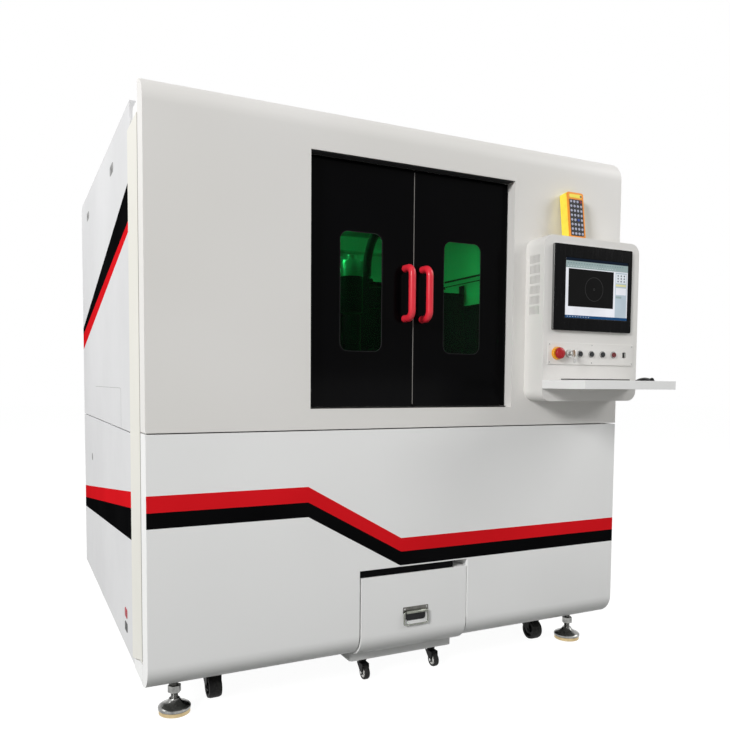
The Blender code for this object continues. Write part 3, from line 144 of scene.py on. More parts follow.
@dataclass
class Surface:
    """A material in the making: its tree and shader, its colour, and Object coordinates."""

    tree: Tree
    shader: bpy.types.Node
    colour: str
    place: Socket

    def fix(self, name: str, value: object) -> None:
        """Set a constant on one of the shader's own sockets."""
        self.shader.inputs[name].default_value = value

    def feed(self, name: str, value: Socket) -> None:
        """Link a pattern into one of the shader's sockets."""
        self.tree.links.new(value, self.shader.inputs[name])

    def noise(self, size: float, detail: float = 2.0, stretch: Point = (1, 1, 1)) -> Socket:
        """Noise whose features are about one size across.

        Args:
            size: feature size in metres.
            detail: finer layers.
            stretch: factor on each axis, below 1 to draw features out along it.

        Returns:
            The noise value's socket.
        """
        mapped = add_node(self.tree, "ShaderNodeMapping",
                          {"Vector": self.place, "Scale": stretch})
        made = add_node(self.tree, "ShaderNodeTexNoise",
                        {"Vector": mapped.outputs[0], "Scale": 1 / size, "Detail": detail})
        return made.outputs[0]

    def cells(self, size: float, output: str) -> Socket:
        """Voronoi cells about one size across; the output is Distance or Color."""
        return add_node(self.tree, "ShaderNodeTexVoronoi",
                        {"Vector": self.place, "Scale": 1 / size}).outputs[output]

    def spread(self, value: Socket, low: float, high: float, start: float = 0.3,
               end: float = 0.7) -> Socket:
        """Map a pattern's middle range onto new limits.

        Args:
            value: the pattern.
            low: result at start.
            high: result at end.
            start: pattern value that gives low.
            end: pattern value that gives high.

        Returns:
            The mapped value's socket.
        """
        return add_node(self.tree, "ShaderNodeMapRange", {
            "Value": value, "From Min": start, "From Max": end, "To Min": low,
            "To Max": high}).outputs[0]

    def tint(self, factor: Socket, other: str, base: Socket | None = None) -> Socket:
        """Mix the finish's colour with another by a pattern.

        Args:
            factor: 0 for the base colour, 1 for the other.
            other: hex colour.
            base: colour socket to start from instead of the finish's own.

        Returns:
            The mixed colour's socket.
        """
        return add_node(self.tree, "ShaderNodeMix", {
            0: factor, 6: base or srgb(self.colour), 7: srgb(other)},
            data_type="RGBA").outputs[2]

    def relief(self, height: Socket, depth: float) -> None:
        """Bump the surface by a pattern.

        Args:
            height: the pattern.
            depth: height between the pattern's 0 and 1, in metres.
        """
        made = add_node(self.tree, "ShaderNodeBump",
                        {"Height": height, "Distance": depth, "Strength": 1.0})
        self.feed("Normal", made.outputs[0])


@dataclass(frozen=True)
class Finish:
    """A real finish: its colour and gloss, with a pattern that a subclass adds."""

    name: str
    colour: str
    roughness: float
    level: float = 0.5            # specular level; low where the studio's white would grey a black

    def material(self) -> bpy.types.Material:
        """The finish as a material, made once.

        Returns:
            The material of this finish's name.
        """
        made = bpy.data.materials.get(self.name)
        if made is None:
            made = bpy.data.materials.new(self.name)
            made.use_nodes = True
            made.diffuse_color = srgb(self.colour)
            tree = made.node_tree
            place = add_node(tree, "ShaderNodeTexCoord").outputs["Object"]
            surface = Surface(tree, tree.nodes["Principled BSDF"], self.colour, place)
            surface.fix("Base Color", srgb(self.colour))
            surface.fix("Roughness", self.roughness)
            surface.fix("Specular IOR Level", self.level)
            self.pattern(surface)
        return made

    def pattern(self, surface: Surface) -> None:
        """Add the surface's own detail; the plain finish has none."""


@dataclass(frozen=True)
class PowderCoat(Finish):
    """Sprayed and baked powder: even colour, soft gloss and a faint orange peel."""

    level: float = 0.20
    peel: float = 4 * MM          # real peel is 1 to 2 mm, drawn coarser so that it shows
    peel_depth: float = 0.02 * MM
    shade: str = "dcdcd8"
    cloud: float = 0.55
    patch: float = 0.09

    def pattern(self, surface: Surface) -> None:
        """Orange peel, and a slow drift in tone and gloss across each panel.

        Args:
            surface: the material in the making.
        """
        drift = surface.spread(surface.noise(self.cloud, 1.0), 0.0, 1.0)
        surface.feed("Base Color", surface.tint(drift, self.shade))
        surface.feed("Roughness", surface.spread(surface.noise(self.patch, 3.0),
                                                 self.roughness - 0.03, self.roughness + 0.04))
        surface.relief(surface.noise(self.peel, 1.0), self.peel_depth)


@dataclass(frozen=True)
class GlossPanel(Finish):
    """Hard gloss, such as lacquer or back-painted acrylic: deep colour, hairline scuffs."""

    coat: float = 0.0
    scuff: str = "151516"

    def pattern(self, surface: Surface) -> None:
        """Wiping marks in the gloss and a trace of dust in the colour.

        Args:
            surface: the material in the making.
        """
        surface.fix("Coat Weight", self.coat)
        wipes = surface.noise(12 * MM, 4.0, (1, 1, 0.18))
        surface.feed("Roughness", surface.spread(wipes, self.roughness * 0.8,
                                                 self.roughness * 1.3 + 0.02))
        dust = surface.spread(surface.noise(0.16, 5.0), 0.0, 0.35, 0.45, 0.8)
        surface.feed("Base Color", surface.tint(dust, self.scuff))


@dataclass(frozen=True)
class Vinyl(Finish):
    """Cast self-adhesive film: flat colour with a fine stipple from the paint under it."""

    level: float = 0.0
    worn: str = "c8222a"

    def pattern(self, surface: Surface) -> None:
        """The paint's peel coming through, and a slight fade.

        Args:
            surface: the material in the making.
        """
        fade = surface.spread(surface.noise(0.30), 0.0, 0.6)
        surface.feed("Base Color", surface.tint(fade, self.worn))
        surface.relief(surface.noise(4 * MM, 1.0), 0.015 * MM)


@dataclass(frozen=True)
class MouldedPlastic(Finish):
    """Injection-moulded plastic: a spark-eroded grain that breaks up the highlight."""

    level: float = 0.25
    grain: float = 1.2 * MM       # real grain is 0.3 mm, drawn coarser so that it shows
    grain_depth: float = 0.03 * MM
    rubbed: str = "2a2a2a"

    def pattern(self, surface: Surface) -> None:
        """Grain, and places that hands have rubbed a little paler.

        Args:
            surface: the material in the making.
        """
        grain = surface.cells(self.grain, "Distance")
        handled = surface.spread(surface.noise(25 * MM, 3.0), 0.0, 0.5, 0.45, 0.8)
        surface.feed("Base Color", surface.tint(handled, self.rubbed))
        surface.relief(grain, self.grain_depth)


@dataclass(frozen=True)
class Metal(Finish):
    """Bare or plated metal: full reflection broken by drawn or tumbled marks."""

    mark: float = 0.6 * MM
    stretch: Point = (1, 1, 0.06)
    dull: str = "8f9190"
    depth: float = 0.01 * MM

    def pattern(self, surface: Surface) -> None:
        """Fine marks along the working direction, and patches the hand has dulled.

        Args:
            surface: the material in the making.
        """
        surface.fix("Metallic", 1.0)
        marks = surface.noise(self.mark, 3.0, self.stretch)
        surface.feed("Roughness", surface.spread(marks, self.roughness * 0.75,
                                                 self.roughness * 1.35))
        patches = surface.spread(surface.noise(18 * MM, 3.0), 0.0, 0.7, 0.4, 0.75)
        surface.feed("Base Color", surface.tint(patches, self.dull))
        surface.relief(marks, self.depth)


@dataclass(frozen=True)
class FilterAcrylic(Finish):
    """Laser-safety acrylic: clear green through its thickness, polished both sides."""

    glare: str = "2c352e"

    def pattern(self, surface: Surface) -> None:
        """Full transmission, with faint waviness from casting.

        Args:
            surface: the material in the making.
        """
        surface.fix("Transmission Weight", 1.0)
        surface.fix("IOR", 1.49)
        surface.fix("Specular Tint", srgb(self.glare))
        surface.relief(surface.noise(0.11, 1.0), 0.05 * MM)


@dataclass(frozen=True)
class Granite(Finish):
    """Lapped black granite: dark ground with pale feldspar and mica flecks."""

    level: float = 0.30

    def pattern(self, surface: Surface) -> None:
        """Two sizes of fleck over a mottled ground.

        Args:
            surface: the material in the making.
        """
        fleck = surface.spread(surface.cells(3 * MM, "Color"), 0.0, 1.0, 0.62, 0.95)
        mottle = surface.spread(surface.noise(9 * MM, 4.0), 0, 1)
        ground = surface.tint(mottle, "2b2c2e")
        surface.feed("Base Color", surface.tint(fleck, "8a8b8c", ground))


@dataclass(frozen=True)
class Rubber(Finish):
    """Vulcanised rubber or polyurethane: matt, with floor dust on the proud places."""

    level: float = 0.20
    dust: str = "6a6864"

    def pattern(self, surface: Surface) -> None:
        """Dust patches and a pitted skin.

        Args:
            surface: the material in the making.
        """
        patches = surface.spread(surface.noise(9 * MM, 4.0), 0.0, 0.45, 0.45, 0.8)
        surface.feed("Base Color", surface.tint(patches, self.dust))
        surface.relief(surface.noise(1.5 * MM), 0.05 * MM)


@dataclass(frozen=True)
class Backlit(Finish):
    """Light-giving surface: a diffuser or a lit part of the display's picture."""

    level: float = 0.02
    strength: float = 1.0
    uneven: float = 0.12

    def pattern(self, surface: Surface) -> None:
        """Even light with the faint unevenness of the lamps behind it.

        Args:
            surface: the material in the making.
        """
        surface.fix("Base Color", srgb("060606"))
        surface.fix("Emission Strength", self.strength)
        dim = surface.spread(surface.noise(0.06, 1.0), 0.0, self.uneven)
        surface.feed("Emission Color", surface.tint(dim, "000000"))


WHITE_COAT = PowderCoat("white_powder_coat", "f0f0ef", 0.42, shade="ebebea")
# Warmer and darker than WHITE_COAT, so the upper front, the console and the switch plate render
# darker than the lower front.
UPPER_COAT = PowderCoat("warm_white_powder_coat", "e4e2df", 0.42, shade="dfddd9")
SIDE_COAT = PowderCoat("pale_grey_powder_coat", "d8d8d9", 0.42, shade="d0d0d1")
PILLAR_COAT = PowderCoat("cream_powder_coat", "e4e2da", 0.45, shade="dddbd2")
BIN_COAT = PowderCoat("grey_powder_coat", "c9c8c3", 0.50, shade="c0bfba")
BLACK_COAT = PowderCoat("black_powder_coat", "0e0e0f", 0.45, level=0.12, shade="131314")
DOOR_GLOSS = GlossPanel("black_back_painted_acrylic", "040405", 0.12, 0.03, scuff="0b0b0c")
HANDLE_RED = GlossPanel("red_plastic_coated_bar", "e02a3a", 0.30, 0.30, coat=0.10, scuff="c92030")
RED_FILM = Vinyl("red_cast_vinyl", "de1c24", 0.34, worn="d0181f")
BLACK_FILM = Vinyl("black_cast_vinyl", "0b0b0c", 0.34, worn="131314")
GREEN_FILTER = FilterAcrylic("green_laser_safety_acrylic", "1db452", 0.02, 0.03)
BLACK_GRANITE = Granite("lapped_black_granite", "16171a", 0.22)
CLEAR_ANODISED = Metal("clear_anodised_aluminium", "c9cbcc", 0.34, dull="b6b8b9")
ZINC_PLATE = Metal("bright_zinc_plate", "c9cac8", 0.20, stretch=(1, 1, 1), mark=2 * MM,
                   dull="a9aaa6")
BRASS_RING = Metal("yellow_passivated_steel", "c9b48c", 0.38, stretch=(1, 1, 1), dull="ab9468")
DARK_STEEL = Metal("dark_brushed_steel", "6b6a66", 0.36, stretch=(0.06, 1, 1), dull="4e4d4a")
SATIN_STEEL = Metal("satin_stainless_steel", "c4c4c2", 0.28, dull="a5a5a3")
SLOT_DARK = Metal("oil_blacked_steel", "2c2c2d", 0.42, dull="1f1f20")
BLACK_ABS = MouldedPlastic("black_moulded_abs", "101011", 0.42, rubbed="1b1b1c")
DOME_ABS = MouldedPlastic("satin_black_abs", "0c0c0d", 0.30, rubbed="161617")
BEZEL_ABS = GlossPanel("gloss_black_bezel", "050506", 0.22, 0.06, scuff="0b0b0c")
BEZEL_EDGE = Metal("grey_anodised_edge", "8c8c8b", 0.40, dull="7c7c7b")
RED_KNOB = GlossPanel("red_moulded_knob", "a8141e", 0.24, 0.25, coat=0.05, scuff="960f18")
INLET_RED = MouldedPlastic("red_moulded_socket", "a81c30", 0.45, rubbed="981828")
YELLOW_RING = MouldedPlastic("yellow_moulded_ring", "e8a010", 0.42, rubbed="d09010")
YELLOW_SHELL = MouldedPlastic("yellow_rubberised_shell", "fbe650", 0.48, rubbed="eed23c")
ORANGE_SHELL = MouldedPlastic("orange_rubberised_shell", "f5961c", 0.48, rubbed="e08414")
KEYPAD_BLACK = MouldedPlastic("black_silicone_mat", "17171a", 0.60, rubbed="232327")
KEY_PALE = MouldedPlastic("pale_silicone_key", "aeb0c4", 0.55, rubbed="9c9eb4")
KEY_RED = MouldedPlastic("dark_red_silicone_key", "8c2430", 0.55, rubbed="7a1c28")
KEY_BLUE = MouldedPlastic("blue_silicone_key", "3054b0", 0.55, rubbed="284a9c")
LENS_DARK = MouldedPlastic("dark_button_lens", "26282a", 0.30, rubbed="34363a")
LENS_RED = MouldedPlastic("dark_red_button_lens", "6e2c2e", 0.30, rubbed="5c2224")
TREAD = Rubber("black_rubber_tread", "161616", 0.62, dust="4a4946")
HUB_GREY = MouldedPlastic("grey_nylon_hub", "cfcecb", 0.45, rubbed="bbbab6")
# Black rubber for the real seals and the mouse wheel; also the colour of strips that paint the
# shade under the door opening's head and the shadow over the tray.
BLACK_RUBBER_AND_SHADE = Rubber("black_rubber_seal", "121213", 0.70, dust="1d1d1e")
HOSE_BLACK = Rubber("black_corrugated_conduit", "0c0c0d", 0.45, dust="161617")
# Grey for the strip that paints the shadow in each pillar groove, and for the strip between the
# doors, lightened against the shade in their gap.
GREY_SEAL_AND_GROOVE_SHADE = Rubber("grey_rubber_seal", "8a8783", 0.70, dust="95928e")
FILTER_FOAM = Rubber("grey_filter_foam", "8c8b88", 0.80, dust="9a9996")
SEAM_FILLER = Rubber("pale_seam_filler", "aaaaa8", 0.70, dust="b4b4b2")
FOOT_CHROME = Metal("dull_chrome_plate", "9a9a98", 0.22, stretch=(1, 1, 1), mark=2 * MM,
                    dull="5f5f5e")
BAIL_STEEL = Metal("zinc_plated_wire", "868880", 0.30, dull="5c5f58")
# Matt black for the chamber linings and rails; also the strip that paints the shadow in the gap
# over the cart.
MATT_BLACK_AND_SHADOW = PowderCoat("matt_black_powder_coat", "0a0a0b", 0.70, level=0.02, shade="0e0e0f")
WORK_LIGHT = Backlit("white_led_diffuser", "ffffff", 0.5, strength=28.0)
WIPER_LIGHT = Backlit("dimmed_led_diffuser", "f4f6f4", 0.5, strength=3.5)

# Mesh making


def cuboid(low: Point, high: Point) -> Mesh:
    """A box between two corners, given in either order along each axis.

    Args:
        low: one corner.
        high: the opposite corner.

    Returns:
        The closed mesh.
    """
    made = bmesh.new()
    bmesh.ops.create_cube(made, size=1.0)
    spans = [sorted(pair) for pair in zip(low, high)]
    for vert in made.verts:
        vert.co = [span[vert.co[i] > 0] for i, span in enumerate(spans)]
    return made


def extrude(outline: Outline, axis: Axis, low: float, high: float) -> Mesh:
    """Extrude a closed outline along an axis.

    Args:
        outline: points in the other two coordinates, in X, Y, Z order.
        axis: direction of the extrusion.
        low: one end on that axis.
        high: the other end, above or below it.

    Returns:
        The closed mesh.
    """
    made = bmesh.new()
    rings = []
    for level in sorted((low, high)):
        ring = []
        for point in outline:
            place = list(point)
            place.insert(axis.value, level)
            ring.append(made.verts.new(place))
        rings.append(ring)
    made.faces.new(rings[0])
    made.faces.new(reversed(rings[1]))
    count = len(outline)
    for i in range(count):
        j = (i + 1) % count
        made.faces.new((rings[0][i], rings[1][i], rings[1][j], rings[0][j]))
    bmesh.ops.recalc_face_normals(made, faces=made.faces)
    return made


def lathe(profile: Outline, centre: Point, axis: Axis, steps: int = 40) -> Mesh:
    """Turn a profile about an axis.

    Args:
        profile: (radius, distance) points; radius 0 at both ends, or a closed ring.
        centre: a point on the axis.
        axis: the turning axis.
        steps: facets round the axis.

    Returns:
        The closed mesh.
    """
    made = bmesh.new()
    along = Vector([float(i == axis.value) for i in range(3)])
    out = Vector((0, 0, 1)) if axis is not Axis.Z else Vector((1, 0, 0))
    start = Vector(centre)
    points = [made.verts.new(start + out * radius + along * far) for radius, far in profile]
    edges = [made.edges.new(pair) for pair in zip(points, points[1:])]
    if profile[0][0] > 0:
        edges.append(made.edges.new((points[-1], points[0])))
    bmesh.ops.spin(made, geom=points + edges, cent=start, axis=along, dvec=(0, 0, 0),
                   angle=2 * math.pi, steps=steps, use_merge=True)
    bmesh.ops.remove_doubles(made, verts=made.verts, dist=1e-6)
    bmesh.ops.recalc_face_normals(made, faces=made.faces)
    return made


def in_mm(*points: tuple[float, float]) -> Outline:
    """A profile's points, given in millimetres, as metres."""
    return [(u * MM, v * MM) for u, v in points]


def there_and_back(profile: Outline) -> Outline:
    """A profile followed by its own mirror image about distance 0."""
    return profile + [(radius, -far) for radius, far in reversed(profile)]


def fillet(points: list[Point], radius: float, steps: int = 8) -> list[Vector]:
    """Round the inner corners of a path.

    Args:
        points: corner points of the path.
        radius: bend radius.
        steps: segments in each bend.

    Returns:
        The path's points with its bends.
    """
    corners = [Vector(point) for point in points]
    path = [corners[0]]
    for before, here, after in zip(corners, corners[1:], corners[2:]):
        back, on = (before - here).normalized(), (after - here).normalized()
        half = back.angle(on) / 2
        reach = radius / math.tan(half)
        centre = here + (back + on).normalized() * (radius / math.sin(half))
        first = here + back * reach - centre
        last = here + on * reach - centre
        for i in range(steps + 1):
            path.append(centre + first.normalized().slerp(last.normalized(), i / steps) * radius)
    path.append(corners[-1])
    return path


def tube(path: list[Vector], radius: float, sides: int = 20) -> Mesh:
    """Sweep a circle along a path that lies in one plane.

    Args:
        path: points of the centre line.
        radius: radius of the tube.
        sides: facets round it.

    Returns:
        The closed mesh.
    """
    made = bmesh.new()
    across = Vector((0, 0, 0))
    for first, middle, last in zip(path, path[1:], path[2:]):
        across = (middle - first).cross(last - middle)
        if across.length > 1e-9:
            break
    if across.length < 1e-9:
        across = (path[1] - path[0]).orthogonal()
    across.normalize()
    rings = []
    for i, point in enumerate(path):
        along = (path[min(i + 1, len(path) - 1)] - path[max(i - 1, 0)]).normalized()
        other = along.cross(across)
        turns = [2 * math.pi * k / sides for k in range(sides)]
        rings.append([made.verts.new(point + (across * math.cos(a) + other * math.sin(a))
                                     * radius) for a in turns])
    for ring, following in zip(rings, rings[1:]):
        for k in range(sides):
            j = (k + 1) % sides
            made.faces.new((ring[k], ring[j], following[j], following[k]))
    made.faces.new(rings[0])
    made.faces.new(rings[-1])
    bmesh.ops.recalc_face_normals(made, faces=made.faces)
    return made


def rounded(left: float, low: float, right: float, high: float, radius: float,
            steps: int = 6) -> Outline:
    """Outline of a rectangle with round corners.

    Args:
        left: lower limit of the first coordinate.
        low: lower limit of the second.
        right: upper limit of the first.
        high: upper limit of the second.
        radius: corner radius.
        steps: segments in each corner.

    Returns:
        Its points in order.
    """
    centres = ((right - radius, high - radius, 0), (left + radius, high - radius, 90),
               (left + radius, low + radius, 180), (right - radius, low + radius, 270))
    points = []
    for u, v, start in centres:
        for i in range(steps + 1):
            turn = math.radians(start + 90 * i / steps)
            points.append((u + radius * math.cos(turn), v + radius * math.sin(turn)))
    return points


def polygon(centre: tuple[float, float], radius: float, sides: int, turn: float = 0.0) -> Outline:
    """Outline of a regular polygon, such as a nut's hexagon."""
    angles = [math.radians(turn + 360 * i / sides) for i in range(sides)]
    return [(centre[0] + radius * math.cos(a), centre[1] + radius * math.sin(a)) for a in angles]


def together(parts: list[Mesh]) -> Mesh:
    """Put several closed meshes into one.

    Args:
        parts: the meshes, which are used up.

    Returns:
        One mesh with all of them.
    """
    made = bmesh.new()
    for part in parts:
        spare = bpy.data.meshes.new("part")
        part.to_mesh(spare)
        part.free()
        made.from_mesh(spare)
        bpy.data.meshes.remove(spare)
    return made


def settle(piece: Piece, crease: float) -> None:
    """Smooth a piece's faces up to a crease angle."""
    piece.data.shade_smooth()
    piece.data.set_sharp_from_angle(angle=math.radians(crease))


def soften(piece: Piece, width: float, segments: int = 2) -> None:
    """Break a piece's sharp edges with a small bevel.

    Args:
        piece: the mesh object.
        width: bevel width.
        segments: steps across the bevel.
    """
    bevel = piece.modifiers.new("edge_break", "BEVEL")
    bevel.width = width
    bevel.segments = segments
    bevel.limit_method = "ANGLE"
    bevel.angle_limit = math.radians(30)
    bevel.harden_normals = True


def link_mesh(name: str, mesh: bpy.types.Mesh) -> Piece:
    """Put a mesh into the scene as an object of its own.

    Args:
        name: the object's name.
        mesh: its mesh.

    Returns:
        The object, at the origin.
    """
    piece = bpy.data.objects.new(name, mesh)
    bpy.context.collection.objects.link(piece)
    return piece


def link_shape(name: str, shape: Mesh) -> Piece:
    """Put a finished shape into the scene.

    Args:
        name: the object's name.
        shape: its mesh, which is used up.

    Returns:
        The object, at the origin.
    """
    mesh = bpy.data.meshes.new(name)
    shape.to_mesh(mesh)
    shape.free()
    return link_mesh(name, mesh)


def link_points(name: str, points: list[Point], edges: list[tuple[int, int]]) -> Piece:
    """Put loose points, or a path of edges, into the scene for a pattern to start from.

    Args:
        name: the object's name.
        points: places of the points.
        edges: pairs of point numbers.

    Returns:
        The object, at the origin.
    """
    mesh = bpy.data.meshes.new(name)
    mesh.from_pydata(points, edges, [])
    return link_mesh(name, mesh)


def plain_mesh(piece: Piece) -> None:
    """Replace a piece's mesh by what its modifiers make of it, and drop them.

    Args:
        piece: the mesh object.
    """
    bpy.context.view_layer.update()
    graph = bpy.context.evaluated_depsgraph_get()
    made = bpy.data.meshes.new_from_object(piece.evaluated_get(graph), depsgraph=graph)
    piece.modifiers.clear()
    piece.data = made


# Repeats


class Pattern:
    """A Geometry Nodes tree with named inputs, run once and left as a plain mesh."""

    def __init__(self, name: str, sockets: dict[str, str]) -> None:
        """Start the tree with its geometry sockets and its named inputs.

        Args:
            name: the tree's name.
            sockets: kind of each named input, such as Float.
        """
        self.tree = bpy.data.node_groups.new(name, "GeometryNodeTree")
        face = self.tree.interface
        for way in ("OUTPUT", "INPUT"):
            face.new_socket("Geometry", in_out=way, socket_type="NodeSocketGeometry")
        self.keys = {word: face.new_socket(word, in_out="INPUT",
                                           socket_type="NodeSocket" + kind).identifier
                     for word, kind in sockets.items()}
        self.source = self.tree.nodes.new("NodeGroupInput")

    def close(self, shape: Socket) -> None:
        """End the tree in Realize Instances and Set Material.

        Args:
            shape: the geometry to hand out.
        """
        real = add_node(self.tree, "GeometryNodeRealizeInstances", {0: shape})
        coat = add_node(self.tree, "GeometryNodeSetMaterial",
                        {0: real.outputs[0], "Material": self.source.outputs["Material"]})
        add_node(self.tree, "NodeGroupOutput", {0: coat.outputs[0]})

    def run(self, piece: Piece, values: dict[str, object]) -> None:
        """Run the tree on a piece and keep the result as its mesh.

        Args:
            piece: the object whose mesh the tree starts from.
            values: value of each named input.
        """
        modifier = piece.modifiers.new("pattern", "NODES")
        modifier.node_group = self.tree
        for word, value in values.items():
            modifier[self.keys[word]] = value
        plain_mesh(piece)


def grid_pattern() -> Pattern:
    """Rows and columns of the piece's own mesh.

    Returns:
        The pattern, ready to run.
    """
    made = Pattern("rows_and_columns", {
        "Columns": "Int", "Rows": "Int", "Column Step": "Vector",
        "Row Step": "Vector", "Material": "Material"})
    tree, source = made.tree, made.source.outputs
    column = add_node(tree, "GeometryNodeMeshLine",
                      {"Count": source["Columns"], "Offset": source["Column Step"]})
    row = add_node(tree, "GeometryNodeMeshLine",
                   {"Count": source["Rows"], "Offset": source["Row Step"]})
    lines = add_node(tree, "GeometryNodeInstanceOnPoints",
                     {"Points": column.outputs[0], "Instance": row.outputs[0]})
    points = add_node(tree, "GeometryNodeRealizeInstances", {0: lines.outputs[0]})
    copies = add_node(tree, "GeometryNodeInstanceOnPoints",
                      {"Points": points.outputs[0], "Instance": source["Geometry"]})
    made.close(copies.outputs[0])
    return made


def fastener_pattern() -> Pattern:
    """A button-head screw with a hexagon socket on every point of the piece.

    Returns:
        The pattern, ready to run.
    """
    made = Pattern("button_head_screws", {
        "Head Radius": "Float", "Head Height": "Float",
        "Turn": "Vector", "Material": "Material",
        "Socket Material": "Material"})
    tree, source = made.tree, made.source.outputs

    def share(value: Socket, factor: float) -> Socket:
        """A length as a share of another."""
        return add_node(tree, "ShaderNodeMath", {0: value, 1: factor},
                        operation="MULTIPLY").outputs[0]

    def lifted(shape: Socket, height: Socket) -> Socket:
        """A primitive moved up along Z."""
        up = add_node(tree, "ShaderNodeCombineXYZ", {2: height})
        return add_node(tree, "GeometryNodeTransform",
                        {"Geometry": shape, "Translation": up.outputs[0]}).outputs[0]

    rim = add_node(tree, "GeometryNodeMeshCone",
                   {"Vertices": 20, "Radius Top": share(source["Head Radius"], 0.72),
                    "Radius Bottom": source["Head Radius"], "Depth": source["Head Height"]})
    recess = add_node(tree, "GeometryNodeMeshCylinder",
                      {"Vertices": 6, "Radius": share(source["Head Radius"], 0.46),
                       "Depth": share(source["Head Height"], 0.06)})
    steel = add_node(tree, "GeometryNodeSetMaterial",
                     {0: rim.outputs[0], "Material": source["Material"]})
    dark = add_node(tree, "GeometryNodeSetMaterial",
                    {0: lifted(recess.outputs[0], source["Head Height"]),
                     "Material": source["Socket Material"]})
    screw = add_node(tree, "GeometryNodeJoinGeometry")
    tree.links.new(steel.outputs[0], screw.inputs[0])
    tree.links.new(dark.outputs[0], screw.inputs[0])
    copies = add_node(tree, "GeometryNodeInstanceOnPoints",
                      {"Points": source["Geometry"], "Instance": screw.outputs[0],
                       "Rotation": source["Turn"]})
    real = add_node(tree, "GeometryNodeRealizeInstances", {0: copies.outputs[0]})
    add_node(tree, "NodeGroupOutput", {0: real.outputs[0]})
    return made


def corrugation_pattern() -> Pattern:
    """A corrugated hose along the piece's path of edges.

    Returns:
        The pattern, ready to run.
    """
    made = Pattern("corrugated_hose", {
        "Radius": "Float", "Pitch": "Float", "Groove": "Float",
        "Material": "Material"})
    tree, source = made.tree, made.source.outputs
    path = add_node(tree, "GeometryNodeMeshToCurve", {0: source["Geometry"]})
    half = add_node(tree, "ShaderNodeMath", {0: source["Pitch"], 1: 0.25}, operation="MULTIPLY")
    fine = add_node(tree, "GeometryNodeResampleCurve",
                    {"Curve": path.outputs[0], "Length": half.outputs[0]}, mode="LENGTH")
    index = add_node(tree, "GeometryNodeInputIndex")
    phase = add_node(tree, "ShaderNodeMath", {0: index.outputs[0], 1: math.pi / 2},
                     operation="MULTIPLY")
    wave = add_node(tree, "ShaderNodeMath", {0: phase.outputs[0]}, operation="SINE")
    swell = add_node(tree, "ShaderNodeMath", {0: wave.outputs[0], 1: source["Groove"],
                     2: source["Radius"]}, operation="MULTIPLY_ADD")
    ringed = add_node(tree, "GeometryNodeSetCurveRadius",
                      {"Curve": fine.outputs[0], "Radius": swell.outputs[0]})
    circle = add_node(tree, "GeometryNodeCurvePrimitiveCircle", {"Resolution": 18, "Radius": 1.0})
    skin = {"Curve": ringed.outputs[0], "Profile Curve": circle.outputs[0], "Fill Caps": True}
    swept = add_node(tree, "GeometryNodeCurveToMesh", skin)
    if "Scale" in swept.inputs:
        radius = add_node(tree, "GeometryNodeInputRadius")
        tree.links.new(radius.outputs[0], swept.inputs["Scale"])
    made.close(swept.outputs[0])
    return made


# Sub-assemblies


@dataclass
class PackedModel:
    """The fixed frame: CAD nodes, each one's body and slot, and the shared patterns."""

    nodes: dict[str, Piece]
    body_of: dict[str, str]
    slot_of: dict[str, str]
    grid: Pattern
    screws: Pattern
    hose: Pattern

    @classmethod
    def load(cls) -> "PackedModel":
        """Load the frame and build the patterns.

        Returns:
            The model that every sub-assembly is built round.
        """
        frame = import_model()
        bodies = frame["record"]["behaviour"]["bodies"]
        body_of = {node: body for body, nodes in bodies.items() for node in nodes}
        slot_of = {row["node"]: row["material_slot"] for row in frame["record"]["subparts"]}
        return cls(frame["nodes"], body_of, slot_of, grid_pattern(), fastener_pattern(),
                   corrugation_pattern())


